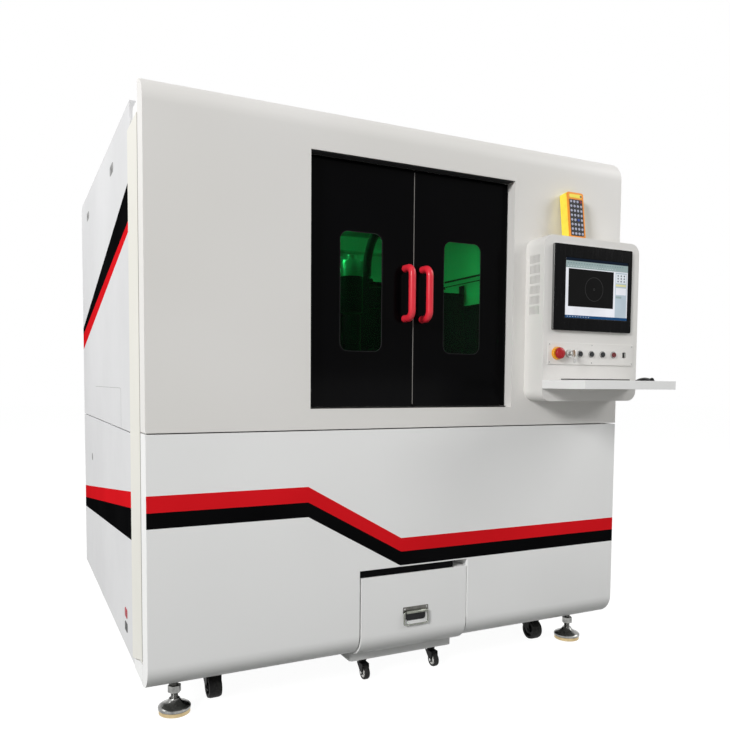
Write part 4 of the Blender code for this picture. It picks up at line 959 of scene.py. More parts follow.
@dataclass
class SubAssembly:
    """One group of pieces, with the sizes they share."""

    model: PackedModel
    shown: list[str] = field(default_factory=list)

    def add(self, name: str, shape: Mesh, finish: Finish, slot: str,
            body: str = "machine", replaces: tuple[str, ...] = (), edge: float = 0.0,
            crease: float = 32.0) -> Piece:
        """Make one piece of the scene.

        Args:
            name: the piece's name.
            shape: its mesh, which is used up.
            finish: its finish.
            slot: the record's material slot.
            body: the CAD body it rides on.
            replaces: CAD nodes it stands for.
            edge: width of the bevel on its sharp edges.
            crease: angle past which an edge stays sharp.

        Returns:
            The new object.
        """
        piece = link_shape(name, shape)
        piece.data.materials.append(finish.material())
        settle(piece, crease)
        if edge:
            soften(piece, edge)
            plain_mesh(piece)
        return self.keep(piece, slot, body, replaces)

    def keep(self, piece: Piece, slot: str, body: str,
             replaces: tuple[str, ...] = ()) -> Piece:
        """Hand a finished piece to the frame.

        Args:
            piece: the object.
            slot: the record's material slot; not used.
            body: the CAD body it rides on.
            replaces: CAD nodes it stands for.

        Returns:
            The same object.
        """
        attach(piece, body)
        if replaces:
            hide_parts(*replaces)
        self.shown.append(piece.name)
        return piece

    def copy_of(self, node: str) -> Mesh:
        """A CAD node's mesh with its loose triangles merged and its flats joined.

        Args:
            node: the CAD node's name.

        Returns:
            A copy; the node itself stays as it is.
        """
        made = bmesh.new()
        made.from_mesh(self.model.nodes[node].data)
        bmesh.ops.remove_doubles(made, verts=made.verts, dist=0.02 * MM)
        bmesh.ops.dissolve_limit(made, angle_limit=math.radians(0.4), verts=made.verts,
                                 edges=made.edges, delimit={"NORMAL"})
        return made

    def dress(self, node: str, finish: Finish, edge: float = 1.0 * MM) -> Piece:
        """Stand a bevelled, smooth copy of a CAD node in for it."""
        return self.add(node + "_skin", self.copy_of(node), finish, self.model.slot_of[node],
                        self.model.body_of[node], (node,), edge)

    def repeat(self, name: str, shape: Mesh, finish: Finish, slot: str,
               columns: int, column_step: Point, rows: int = 1, row_step: Point = (0, 0, 0),
               body: str = "machine", crease: float = 32.0) -> Piece:
        """Repeat one small shape in rows and columns.

        Args:
            name: the piece's name.
            shape: the first copy, in place.
            finish: its finish.
            slot: the record's material slot.
            columns: copies along the first step.
            column_step: from one column to the next.
            rows: copies along the second step.
            row_step: from one row to the next.
            body: the CAD body it rides on.
            crease: angle past which an edge stays sharp.

        Returns:
            The new object.
        """
        piece = link_shape(name, shape)
        self.model.grid.run(piece, {"Columns": columns, "Rows": rows, "Column Step": column_step,
                                    "Row Step": row_step, "Material": finish.material()})
        settle(piece, crease)
        return self.keep(piece, slot, body)

    def screw(self, name: str, points: list[Point], turn: Point, radius: float, height: float,
              finish: Finish = ZINC_PLATE, slot: str = "zinc",
              body: str = "machine") -> Piece:
        """Button-head screws at a list of points.

        Args:
            name: the piece's name.
            points: where each head meets the surface.
            turn: rotation that brings +Z onto the outward direction.
            radius: head radius.
            height: head height.
            finish: the heads' finish.
            slot: the record's material slot.
            body: the CAD body they ride on.

        Returns:
            The new object.
        """
        piece = link_points(name, points, [])
        self.model.screws.run(piece, {"Head Radius": radius, "Head Height": height, "Turn": turn,
                                      "Material": finish.material(),
                                      "Socket Material": SLOT_DARK.material()})
        settle(piece, 40.0)
        return self.keep(piece, slot, body)

    def side_face(self, part: str, side: Side) -> float:
        """X of the outer face of a side panel, by its part: upper or lower."""
        low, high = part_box(f"{side.word}_{part}_panel")
        return low.x if side is Side.LEFT else high.x

    def report(self) -> None:
        """Log what the sub-assembly made."""
        for name in self.shown:
            LOG.info("%s: %s", type(self).__name__, name)


FACING_FRONT: Point = (math.pi / 2, 0.0, 0.0)
FACING_DOWN: Point = (math.pi, 0.0, 0.0)


@dataclass
class Enclosure(SubAssembly):
    """Folded steel skins with the red and black bands, the frame and the door surround."""

    face_y: float = FRONT_FACE
    pillar_recess: float = 11.4 * MM
    groove_end: float = 0.104
    cover_end: float = 0.2410
    lap_end: float = 0.2840
    foot_high: float = 0.181
    foot_low: float = 0.135
    cover_high: float = 1.800
    foot_bend: float = 0.129
    toe_start: float = 0.0887
    toe_floor: float = 0.1493
    seal_levels: tuple[float, float] = (0.185, 1.796)
    door_half: float = 0.3845
    door_levels: tuple[float, float] = (0.943, 1.739)
    cart_opening: tuple[float, float] = (-0.2095, 0.2103)
    cart_strip_end: float = 0.150
    cart_levels: tuple[float, float] = (0.203, 0.4100)
    slope_start: float = 0.257
    slope_end: float = 1.760
    upper_levels: tuple[Point, Point] = ((1.652, 1.533, 1.500), (1.296, 1.262, 1.189))
    lower_levels: tuple[Point, Point] = ((0.677, 0.624, 0.519), (0.504, 0.444, 0.398))

    def paint(self, shape: Mesh, axis: Axis, level: float, outline: Outline,
              index: int) -> None:
        """Cut an outline into the faces on one plane and give what is inside another finish.

        Args:
            shape: the panel's mesh.
            axis: direction that the plane faces.
            level: where the plane is.
            outline: the band's corners in the plane's two coordinates.
            index: material index for the faces inside.
        """
        def placed(point: tuple[float, float]) -> Vector:
            """A point of the plane in space."""
            place = list(point)
            place.insert(axis.value, level)
            return Vector(place)

        def flat_faces() -> list[bmesh.types.BMFace]:
            """The faces that lie in the plane."""
            return [f for f in shape.faces
                    if all(abs(v.co[axis.value] - level) < 1e-4 for v in f.verts)]

        out = placed((0, 0)) * 0
        out[axis.value] = 1.0
        lines = []
        for first, last in zip(outline, outline[1:] + outline[:1]):
            start = placed(first)
            normal = (placed(last) - start).cross(out).normalized()
            lines.append((start, normal))
            faces = flat_faces()
            edges = {edge for face in faces for edge in face.edges}
            verts = {vert for face in faces for vert in face.verts}
            bmesh.ops.bisect_plane(shape, geom=[*faces, *edges, *verts], dist=1e-6,
                                   plane_co=start, plane_no=normal)
        u, v = [i for i in range(3) if i != axis.value]
        for face in flat_faces():
            middle = face.calc_center_median()
            if inside((middle[u], middle[v]), outline):
                face.material_index = index

    def side_bands(self, levels: tuple[Point, Point]) -> tuple[Outline, Outline]:
        """The two sloping bands of a side panel, run on past its edges.

        Args:
            levels: the three edges' heights at the front and the rear.

        Returns:
            The upper and the lower band.
        """
        ends = (0.10, 1.90)
        edges = []
        for front, rear in zip(*levels):
            slope = (rear - front) / (self.slope_end - self.slope_start)
            edges.append([(self.face_y + depth, front + slope * (depth - self.slope_start))
                          for depth in ends])
        top, middle, low = edges
        return top + middle[::-1], middle + low[::-1]

    def front_skins(self) -> None:
        """Rolled front skins, the lower one with its two cranked bands."""
        lower = self.copy_of("lower_front_panel")
        past = 0.90
        head = [(-past, 0.699), (-0.392, 0.699), (-0.058, 0.508), (past, 0.507)]
        middle = [(-past, 0.650), (-0.3921, 0.6498), (-0.0576, 0.462), (past, 0.460)]
        foot = [(-past, 0.6035), (-0.392, 0.603), (-0.0605, 0.4150), (past, 0.4150)]
        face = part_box("lower_front_panel")[0].y
        self.paint(lower, Axis.Y, face, head + middle[::-1], 1)
        self.paint(lower, Axis.Y, face, middle + foot[::-1], 2)
        self.banded("lower_front_panel", lower)
        self.dress("upper_front_panel", UPPER_COAT, 2.0 * MM)

    def banded(self, node: str, shape: Mesh) -> None:
        """Add a skin whose faces carry the band finishes.

        Args:
            node: the CAD node that it stands for.
            shape: its mesh, with the bands painted.
        """
        coat = WHITE_COAT if node.startswith("lower") else SIDE_COAT
        piece = self.add(node + "_skin", shape, coat, "white_paint", "machine", (node,),
                         0.0, 32.0)
        piece.data.materials.append(RED_FILM.material())
        piece.data.materials.append(BLACK_FILM.material())
        soften(piece, 1.5 * MM)
        plain_mesh(piece)

    def side_skins(self) -> None:
        """Side panels: black over red above, red over black below."""
        for side in Side:
            for part, levels, indexes in (("upper", self.upper_levels, (2, 1)),
                                          ("lower", self.lower_levels, (1, 2))):
                node = f"{side.word}_{part}_panel"
                shape = self.copy_of(node)
                face = self.side_face(part, side)
                for band, index in zip(self.side_bands(levels), indexes):
                    self.paint(shape, Axis.X, face, band, index)
                self.banded(node, shape)

    def corner(self, side: Side) -> None:
        """Cover of a front pillar, its white toe, and a grey strip in the groove before it that
        paints the groove's shadow.

        Args:
            side: the pillar's side.
        """
        out, face = side.value, self.face_y
        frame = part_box("base_frame")[1].x - self.pillar_recess
        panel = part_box(f"{side.word}_lower_panel")[1 if out > 0 else 0].x * out + 0.2 * MM
        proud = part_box("lower_front_panel")[1].x - 1.2 * MM
        start, end, lap = (face + depth for depth in (self.groove_end, self.cover_end,
                                                      self.lap_end))
        bend = face + self.foot_bend
        fall = (self.foot_high - self.foot_low) / (lap - bend)
        foot = self.foot_high - fall * (end - bend)
        name = f"{side.word}_corner"
        cover = extrude([(start, self.foot_high), (bend, self.foot_high), (end, foot),
                         (end, self.cover_high), (start, self.cover_high)], Axis.X,
                        out * frame, out * proud)
        sheet = extrude([(end - MM, foot), (lap, self.foot_low), (lap, self.cover_high),
                         (end - MM, self.cover_high)], Axis.X, out * panel, out * proud)
        self.add(name + "_cover", together([cover, sheet]), PILLAR_COAT, "frame_paint",
                 edge=0.5 * MM)
        top, floor, back = self.foot_high - 3 * MM, self.toe_floor, face + self.toe_start
        toe = extrude([(back, floor), (bend + (top - floor) / fall, floor), (bend, top),
                       (back, top)], Axis.X, out * frame, out * (proud + 0.8 * MM))
        self.add(name + "_toe", toe, WHITE_COAT, "white_paint", edge=0.5 * MM)
        # The grey strip in the groove is painted shadow of the groove.
        foot, head = self.seal_levels
        seal = cuboid((out * frame, back, foot), (out * (proud - MM), start - 0.3 * MM, head))
        self.add(name + "_seal", seal, GREY_SEAL_AND_GROOVE_SHADE, "black_paint", edge=1 * MM)

    def opening_seals(self) -> None:
        """Strips round the opening, between the doors and over the cart; the black ones under the
        opening's head and over the cart are painted shade in those gaps.
        """
        half, front, (sill, top) = self.door_half, self.face_y, self.door_levels
        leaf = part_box("left_door")[0].y
        # The head strip is painted shade under the opening's top reveal.
        for name, start, z in (("head", front + 3.5 * MM, top - 3.4 * MM),
                               ("sill", leaf - 12 * MM, sill + 0.2 * MM)):
            strip = cuboid((-half, start, z), (half - 4 * MM, leaf - 0.6 * MM, z + 3.2 * MM))
            self.add(f"opening_{name}_seal", strip, BLACK_RUBBER_AND_SHADE, "black_paint", edge=0.5 * MM)
        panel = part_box("lower_front_panel")[0].y
        (left, right), (low, high) = self.cart_opening, self.cart_levels
        # A black strip paints the shadow in the gap over the cart.
        strip = cuboid((left, panel + 2.8 * MM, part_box("cart_front")[1].z + 1.4 * MM),
                       (self.cart_strip_end, panel + 6.3 * MM, high))
        self.add("cart_head_seal", strip, MATT_BLACK_AND_SHADOW, "black_paint", edge=0.5 * MM)
        inner = right - 3.5 * MM
        trim = extrude([(right, panel + 0.7 * MM), (right - 0.7 * MM, panel + 0.7 * MM),
                        (inner, panel + 4.2 * MM), (inner, panel + 9 * MM),
                        (right, panel + 9 * MM)], Axis.Z, low, high)
        self.add("cart_side_trim", trim, WHITE_COAT, "white_paint", edge=0.5 * MM)
        # Grey strip between the doors; its grey is lightened to paint out the shade of the gap.
        astragal = cuboid((-1.2 * MM, leaf + 0.5 * MM, sill + 12 * MM),
                          (1.2 * MM, leaf + 6 * MM, top - 12 * MM))
        self.add("meeting_seal", astragal, GREY_SEAL_AND_GROOVE_SHADE, "black_paint", "left_door",
                 edge=0.5 * MM)

    def build(self) -> None:
        """Dress every skin and the frame."""
        self.front_skins()
        self.side_skins()
        self.opening_seals()
        for side in Side:
            self.corner(side)
        for node, coat, edge in (("back_lower_panel", WHITE_COAT, 1.5),
                                 ("back_upper_panel", WHITE_COAT, 1.5),
                                 ("roof_panel", WHITE_COAT, 1.5),
                                 ("base_frame", WHITE_COAT, 2.5),
                                 ("door_frame", PILLAR_COAT, 1.0)):
            self.dress(node, coat, edge * MM)


def inside(point: tuple[float, float], outline: Outline) -> bool:
    """Whether a point is inside a closed outline.

    Args:
        point: the point.
        outline: the outline's corners.

    Returns:
        True inside.
    """
    crossings = 0
    for (u0, v0), (u1, v1) in zip(outline, outline[1:] + outline[:1]):
        if (v0 > point[1]) != (v1 > point[1]):
            crossings += point[0] < u0 + (point[1] - v0) * (u1 - u0) / (v1 - v0)
    return crossings % 2 == 1


@dataclass
class PanelFittings(SubAssembly):
    """Cam locks, the mains inlets and a plug on the side panels."""

    lock_depths: tuple[float, float] = (0.668, 1.502)
    lock_z: float = 1.780
    lock_radius: float = 15 * MM
    latch_long: float = 84 * MM
    proud: float = 1.9 * MM
    face_y: float = FRONT_FACE
    plug_depth: float = 1.449
    plug_z: float = 0.677
    inlet_depth: float = 0.426
    inlet_levels: tuple[float, float] = (0.2405, 0.193)
    inlet_tall: float = 30 * MM
    inlet_deep: float = 46 * MM
    hatch_depths: tuple[float, float] = (0.496, 1.270)
    hatch_top: float = 1.003
    louvre_starts: tuple[float, float] = (-0.62, 0.22)
    louvre_foot: float = 1.05
    louvre_long: float = 0.40
    louvre_pitch: float = 22 * MM

    def lock(self, name: str, side: Side, depth: float) -> None:
        """A flush latch: an oblong dished plate with a slotted round barrel in it.

        Args:
            name: the piece's name.
            side: the side it is on.
            depth: distance of its middle behind the front.
        """
        z = self.lock_z
        skin, out = self.side_face("upper", side), side.value
        centre = (skin, self.face_y + depth, z)
        r, top = self.lock_radius, out * self.proud
        back = -out * 4 * MM
        ring = [(0, back), (r, back), (r, top - out * 0.5 * MM), (r - 0.8 * MM, top),
                (r * 0.62, top), (r * 0.58, top - out * 0.6 * MM), (0, top - out * 0.6 * MM)]
        self.add(name, lathe(ring, centre, Axis.X, 36), BEZEL_EDGE, "zinc")
        half, tall = self.latch_long / 2, r + 2 * MM
        plate = extrude(rounded(centre[1] - half, z - tall, centre[1] + half, z + tall, 10 * MM),
                        Axis.X, skin + back, skin + out * MM)
        self.add(name + "_plate", plate, BEZEL_EDGE, "zinc", edge=0.4 * MM)
        slot = cuboid((min(skin + top, skin - out * MM), centre[1] - 0.8 * MM, z - r * 0.45),
                      (max(skin + top - out * 0.3 * MM, skin - out * MM), centre[1] + 0.8 * MM,
                       z + r * 0.45))
        self.add(name + "_slot", slot, SLOT_DARK, "zinc")

    def plug(self, side: Side) -> None:
        """A domed blanking plug in the lower panel.

        Args:
            side: the side it is on.
        """
        skin, out = self.side_face("lower", side), side.value
        dome = [(0, -out * 3 * MM), (17 * MM, -out * 3 * MM), (17 * MM, out * 0.4 * MM),
                (15 * MM, out * 1.3 * MM), (8 * MM, out * 1.9 * MM), (0, out * 2.0 * MM)]
        self.add(f"{side.word}_blanking_plug",
                 lathe(dome, (skin, self.face_y + self.plug_depth, self.plug_z), Axis.X, 40),
                 BEZEL_EDGE, "zinc")

    def inlet(self, name: str, side: Side, z: float, finish: Finish, slot: str) -> None:
        """A flanged power socket with a finger-proof insert.

        Args:
            name: the piece's name.
            side: the side it is on.
            z: height of its middle.
            finish: the insert's finish.
            slot: the record's material slot.
        """
        skin, out = self.side_face("lower", side), side.value
        y = self.face_y + self.inlet_depth
        half, tall = self.inlet_deep / 2, self.inlet_tall / 2
        frame = extrude(rounded(y - half, z - tall, y + half, z + tall, 4 * MM), Axis.X,
                        skin - out * 3 * MM, skin + out * 2 * MM)
        self.add(name + "_flange", frame, finish, slot, edge=0.7 * MM)
        pin = lathe([(0, 0), (2.2 * MM, 0), (2.2 * MM, out * 0.3 * MM), (0, out * 0.3 * MM)],
                    (skin + out * 2.0 * MM, y - half * 0.45, z - tall * 0.5), Axis.X, 16)
        self.repeat(name + "_contacts", pin, SLOT_DARK, "dark_steel", 2, (0, half * 0.9, 0), 3,
                    (0, 0, tall * 0.5))

    def louvres(self) -> None:
        """Pressed louvres in the back panel."""
        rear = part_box("back_upper_panel")[1].y
        for side, x in zip(Side, self.louvre_starts):
            blade = self.blade((x, rear, self.louvre_foot))
            self.repeat(f"back_{side.word}_louvres", blade, WHITE_COAT, "white_paint", 12,
                        (0, 0, self.louvre_pitch))

    def blade(self, corner: Point) -> Mesh:
        """One louvre: a shallow hood over its slot.

        Args:
            corner: its lower corner on the panel's face.

        Returns:
            The closed mesh.
        """
        x, y, z = corner
        hood = [(-0.6, 0.0), (2.2, 0.0), (2.2, 1.2), (1.7, 5.0), (0.6, 9.0), (-0.6, 11.0)]
        return extrude([(y + a * MM, z + b * MM) for a, b in hood], Axis.X, x,
                       x + self.louvre_long)

    def hatch(self, side: Side) -> None:
        """Filled seam of the service hatch low in an upper side panel.

        Args:
            side: the side it is on.
        """
        skin = self.side_face("upper", side)
        face = skin + side.value * 0.25 * MM
        front, rear = (self.face_y + depth for depth in self.hatch_depths)
        foot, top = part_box(f"{side.word}_upper_panel")[0].z, self.hatch_top
        path = [(front, foot + 2 * MM), (front, top - 14 * MM), (front + 6 * MM, top - 4 * MM),
                (front + 16 * MM, top), (rear, top)]
        width = 1.8 * MM
        back = [(y + width, z - width) if i > 1 else (y + width, z)
                for i, (y, z) in enumerate(path)]
        seam = extrude(path + back[::-1], Axis.X, skin - side.value * 0.2 * MM, face)
        self.add(f"{side.word}_hatch_seam", seam, SEAM_FILLER, "white_paint")

    def build(self) -> None:
        """Fit both sides and the back."""
        for side in Side:
            for i, depth in enumerate(self.lock_depths):
                self.lock(f"{side.word}_cam_lock_{i + 1}", side, depth)
            self.plug(side)
            self.hatch(side)
        self.inlet("power_inlet", Side.LEFT, self.inlet_levels[0], INLET_RED, "red_plastic")
        self.inlet("control_inlet", Side.LEFT, self.inlet_levels[1], BLACK_ABS, "black_plastic")
        self.louvres()


@dataclass
class Doors(SubAssembly):
    """Two gloss black doors with green filter windows and red bar handles."""

    handle_x: float = 0.0335
    handle_z: float = 1.324
    handle_length: float = 0.190
    handle_radius: float = 12 * MM
    standoff: float = 0.050
    bend: float = 0.026

    def handle(self, side: Side) -> None:
        """A bent bar with a foot at each end.

        Args:
            side: the leaf it is on.
        """
        body = f"{side.word}_door"
        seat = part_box(body)[0].y - 0.3 * MM
        x = side.value * self.handle_x
        reach = self.handle_length / 2 - self.handle_radius
        bar = seat + 0.3 * MM - self.standoff
        ends = (self.handle_z - reach, self.handle_z + reach)
        corners = [(x, seat, ends[0]), (x, bar, ends[0]), (x, bar, ends[1]), (x, seat, ends[1])]
        parts = [tube(fillet(corners, self.bend, 12), self.handle_radius, 28)]
        for z in ends:
            r = self.handle_radius
            foot = [(0, 0), (r + 0.2 * MM, 0), (r + 0.2 * MM, -2 * MM), (0, -2 * MM)]
            parts.append(lathe(foot, (x, seat, z), Axis.Y, 32))
        self.add(f"{side.word}_bar_handle", together(parts), HANDLE_RED, "red_paint", body,
                 (f"{side.word}_handle",), crease=50)

    def window_seal(self, side: Side) -> None:
        """A thin rubber lip round the window, behind the leaf's face.

        Args:
            side: the leaf it is on.
        """
        low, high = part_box(f"{side.word}_window")
        lap, lip = 12 * MM, 1.6 * MM
        outer = rounded(low.x + lap, low.z + lap, high.x - lap, high.z - lap, 28 * MM, 10)
        inner = rounded(low.x + lap + lip, low.z + lap + lip, high.x - lap - lip,
                        high.z - lap - lip, 28 * MM - lip, 10)
        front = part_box(f"{side.word}_door")[0].y + 0.6 * MM
        back = low.y - 0.1 * MM
        shape = bmesh.new()
        rings = [[shape.verts.new((x, y, z)) for x, z in ring]
                 for ring, y in ((outer, front), (inner, front), (inner, back), (outer, back))]
        count = len(outer)
        for first, second in zip(rings, rings[1:] + rings[:1]):
            for i in range(count):
                j = (i + 1) % count
                shape.faces.new((first[i], first[j], second[j], second[i]))
        bmesh.ops.recalc_face_normals(shape, faces=shape.faces)
        self.add(f"{side.word}_window_seal", shape, BLACK_RUBBER_AND_SHADE, "black_paint", f"{side.word}_door")

    def build(self) -> None:
        """Dress both doors."""
        for side in Side:
            self.dress(f"{side.word}_door", DOOR_GLOSS, 0.8 * MM)
            self.dress(f"{side.word}_window", GREEN_FILTER, 0.0)
            self.window_seal(side)
            self.handle(side)


@dataclass
class Chamber(SubAssembly):
    """What shows through the windows: bed, gantry, carriage, head and work lights."""

    plate_top: float = 1.467
    lining_top: float = 1.418
    arch_x: float = 0.134
    arch_span: float = 0.336
    arch_y: float = -0.07855
    arch_rise: float = 0.240
    arch_spring: float = 1.500
    hose_radius: float = 19 * MM
    groove: float = 1.2 * MM
    bed_rail_x: float = 0.560
    bed_rail_low: float = 0.9302
    bed_rail_half: float = 14.2 * MM
    head_x: float = 0.005
    light_half: float = 0.62
    wall_x: float = 0.858
    rear_wall: float = 1.0265
    lining_low: float = 0.965
    lining_front: float = -0.470
    plate_wide: float = 0.220
    bed_light: tuple[tuple[float, float], tuple[float, float]] = ((-0.020, 1.772),
                                                                  (0.060, 1.786))
    door_light: tuple[tuple[float, float], tuple[float, float]] = ((-0.574, 1.762),
                                                                   (-0.546, 1.768))

    def bed(self) -> None:
        """Granite bed, sheet fixture and laser source."""
        self.dress("granite_bed", BLACK_GRANITE, 3 * MM)
        self.dress("sheet_fixture", CLEAR_ANODISED, 1 * MM)
        self.dress("laser_source", BLACK_COAT, 2 * MM)
        self.dress("gantry_beam", BLACK_COAT, 2 * MM)

    def rails(self) -> None:
        """Ground linear rails over the bed's plain bars."""
        low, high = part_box("granite_bed")
        for side in Side:
            x, half = side.value * self.bed_rail_x, self.bed_rail_half
            rail = cuboid((x - half, low.y + 40 * MM, self.bed_rail_low),
                          (x + half, high.y - 40 * MM, high.z + 0.2 * MM))
            self.add(f"{side.word}_bed_rail", rail, SATIN_STEEL, "anodised", edge=1.5 * MM)

    def carriage(self) -> None:
        """Carriage plate and saddle, with the corrugated conduit's arch."""
        low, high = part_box("x_carriage")
        plate_back = low.y + 20 * MM
        plate = extrude(rounded(low.x, low.z, low.x + self.plate_wide, self.plate_top, 12 * MM),
                        Axis.Y, low.y, plate_back)
        saddle_top = self.plate_top - 20 * MM
        saddle = cuboid((low.x + 20 * MM, plate_back - 3 * MM, saddle_top - 12 * MM),
                        (self.arch_x + self.arch_span + 27 * MM, high.y, saddle_top))
        self.add("carriage_plate", plate, BLACK_COAT, "black_housing", "carriage",
                 ("x_carriage",), 1.5 * MM)
        self.add("carriage_saddle", saddle, BLACK_COAT, "black_housing", "carriage",
                 edge=1.5 * MM)
        first, last = self.arch_x, self.arch_x + self.arch_span
        foot, spring = saddle_top - 3 * MM, self.arch_spring
        turns = [math.pi * i / 40 for i in range(41)]
        path = [(first, self.arch_y, foot)]
        path += [((first + last) / 2 - self.arch_span / 2 * math.cos(a), self.arch_y,
                  spring + self.arch_rise * math.sin(a)) for a in turns]
        path.append((last, self.arch_y, foot))
        piece = link_points("conduit_arch", path, [(i, i + 1) for i in range(len(path) - 1)])
        self.model.hose.run(piece, {"Radius": self.hose_radius - self.groove, "Pitch": 6 * MM,
                                    "Groove": self.groove, "Material": HOSE_BLACK.material()})
        settle(piece, 60)
        self.keep(piece, "black_housing", "carriage")
        for name, x in (("first", first), ("last", last)):
            gland = lathe(in_mm((0, 0), (27, 0), (27, 14), (22, 20), (0, 20)),
                          (x, self.arch_y, saddle_top), Axis.Z, 24)
            self.add(f"conduit_{name}_gland", gland, BLACK_ABS, "black_housing", "carriage")

    def head(self) -> None:
        """Cutting head: dark slide block and body, bright collimator, copper-coloured tip."""
        low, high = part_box("cutting_head")
        axis_y = low.y + 45 * MM
        centre = (self.head_x, axis_y, 0.0)
        body = in_mm((0, 1060), (20, 1060), (28, 1100), (33, 1118), (37, 1124), (37, 1180),
                     (35.5, 1182), (35.5, 1188), (37, 1190), (37, 1296), (30, 1300), (0, 1300))
        self.add("head_body", lathe(body, centre, Axis.Z, 48), BLACK_COAT, "anodised", "head",
                 ("cutting_head",))
        block = cuboid((self.head_x - 30 * MM, axis_y + 9 * MM, 1.140),
                       (self.head_x + 30 * MM, high.y, 1.290))
        self.add("head_slide_block", block, BLACK_COAT, "anodised", "head", edge=2 * MM)
        barrel = in_mm((0, 1299), (31, 1299), (45, 1305), (45, 1360), (43.5, 1362),
                       (43.5, 1367), (45, 1369), (45, 1444.8), (0, 1444.8))
        self.add("head_barrel", lathe(barrel, centre, Axis.Z, 64), BLACK_COAT, "anodised", "head")
        bright = in_mm((0, 1444), (44, 1445), (45, 1446), (45, 1502), (42, 1508), (21, 1510),
                       (21, 1528), (19, 1530), (0, 1530))
        self.add("head_collimator", lathe(bright, centre, Axis.Z, 64), CLEAR_ANODISED,
                 "anodised", "head")
        end = low.z / MM
        tip = in_mm((0, end), (2.2, end), (4, end + 4), (9, end + 15), (14, end + 20),
                    (14, end + 32), (18, 1061), (0, 1061))
        self.add("head_nozzle", lathe(tip, centre, Axis.Z, 40), BRASS_RING, "anodised", "head")

    def work_lights(self) -> None:
        """LED bars under the top ring: a bright one over the bed, a dim one over the doors."""
        for name, (low, high), light in (("bed", self.bed_light, WORK_LIGHT),
                                         ("door", self.door_light, WIPER_LIGHT)):
            end, lap = self.light_half, 10 * MM
            strip = cuboid((-end, *low), (end, *high))
            self.add(f"{name}_work_light", strip, light, "white_paint", edge=2 * MM)
            holder = cuboid((-end - lap, low[0] - 4 * MM, high[1] - MM),
                            (end + lap, high[0] + 4 * MM, high[1] + 6 * MM))
            self.add(f"{name}_work_light_holder", holder, CLEAR_ANODISED, "anodised",
                     edge=1 * MM)

    def linings(self) -> None:
        """Matt black splash linings inside the walls, up to the gantry's height."""
        base, top = self.lining_low, self.lining_top
        for side in Side:
            wall = side.value * self.wall_x
            sheet = cuboid((wall, self.lining_front, base),
                           (wall - side.value * 2 * MM, self.rear_wall - 4.5 * MM, top))
            self.add(f"{side.word}_lining", sheet, MATT_BLACK_AND_SHADOW, "black_paint", edge=0.5 * MM)
            line = wall - side.value * 3.0 * MM
            bars = [cuboid((line, *low), (wall, *high)) for low, high in
                    (((0.135, 1.553), (0.458, 1.562)), ((0.135, 1.530), (0.446, 1.534)),
                     ((0.275, 1.418), (0.318, 1.522)))]
            self.add(f"{side.word}_hose_clip_rail", together(bars), MATT_BLACK_AND_SHADOW, "black_paint")
        half = self.wall_x - 3 * MM
        sheet = cuboid((-half, self.rear_wall - 2 * MM, base), (half, self.rear_wall, top))
        self.add("rear_lining", sheet, MATT_BLACK_AND_SHADOW, "black_paint", edge=0.5 * MM)

    def build(self) -> None:
        """Build the inside."""
        self.bed()
        self.rails()
        self.carriage()
        self.head()
        self.work_lights()
        self.linings()


class Lit(Enum):
    """Colours of the display's picture, by what they show."""

    PAPER = "f3f5fb"
    PANEL = "becdd7"
    TOOLBAR = "9fb2b2"
    TITLE = "101c2c"
    CANVAS = "151515"
    DRAWN = "3c3c3c"
    TASKBAR = "1c4a78"
    BUTTON = "e6edf2"
    ARROW = "3a4450"
    PALE = "e6e2a8"
    ICON = "5f7c86"

    @property
    def finish(self) -> Backlit:
        """The lit finish of this colour."""
        return Backlit(f"display_{self.name.lower()}", self.value, 0.18, strength=0.92)


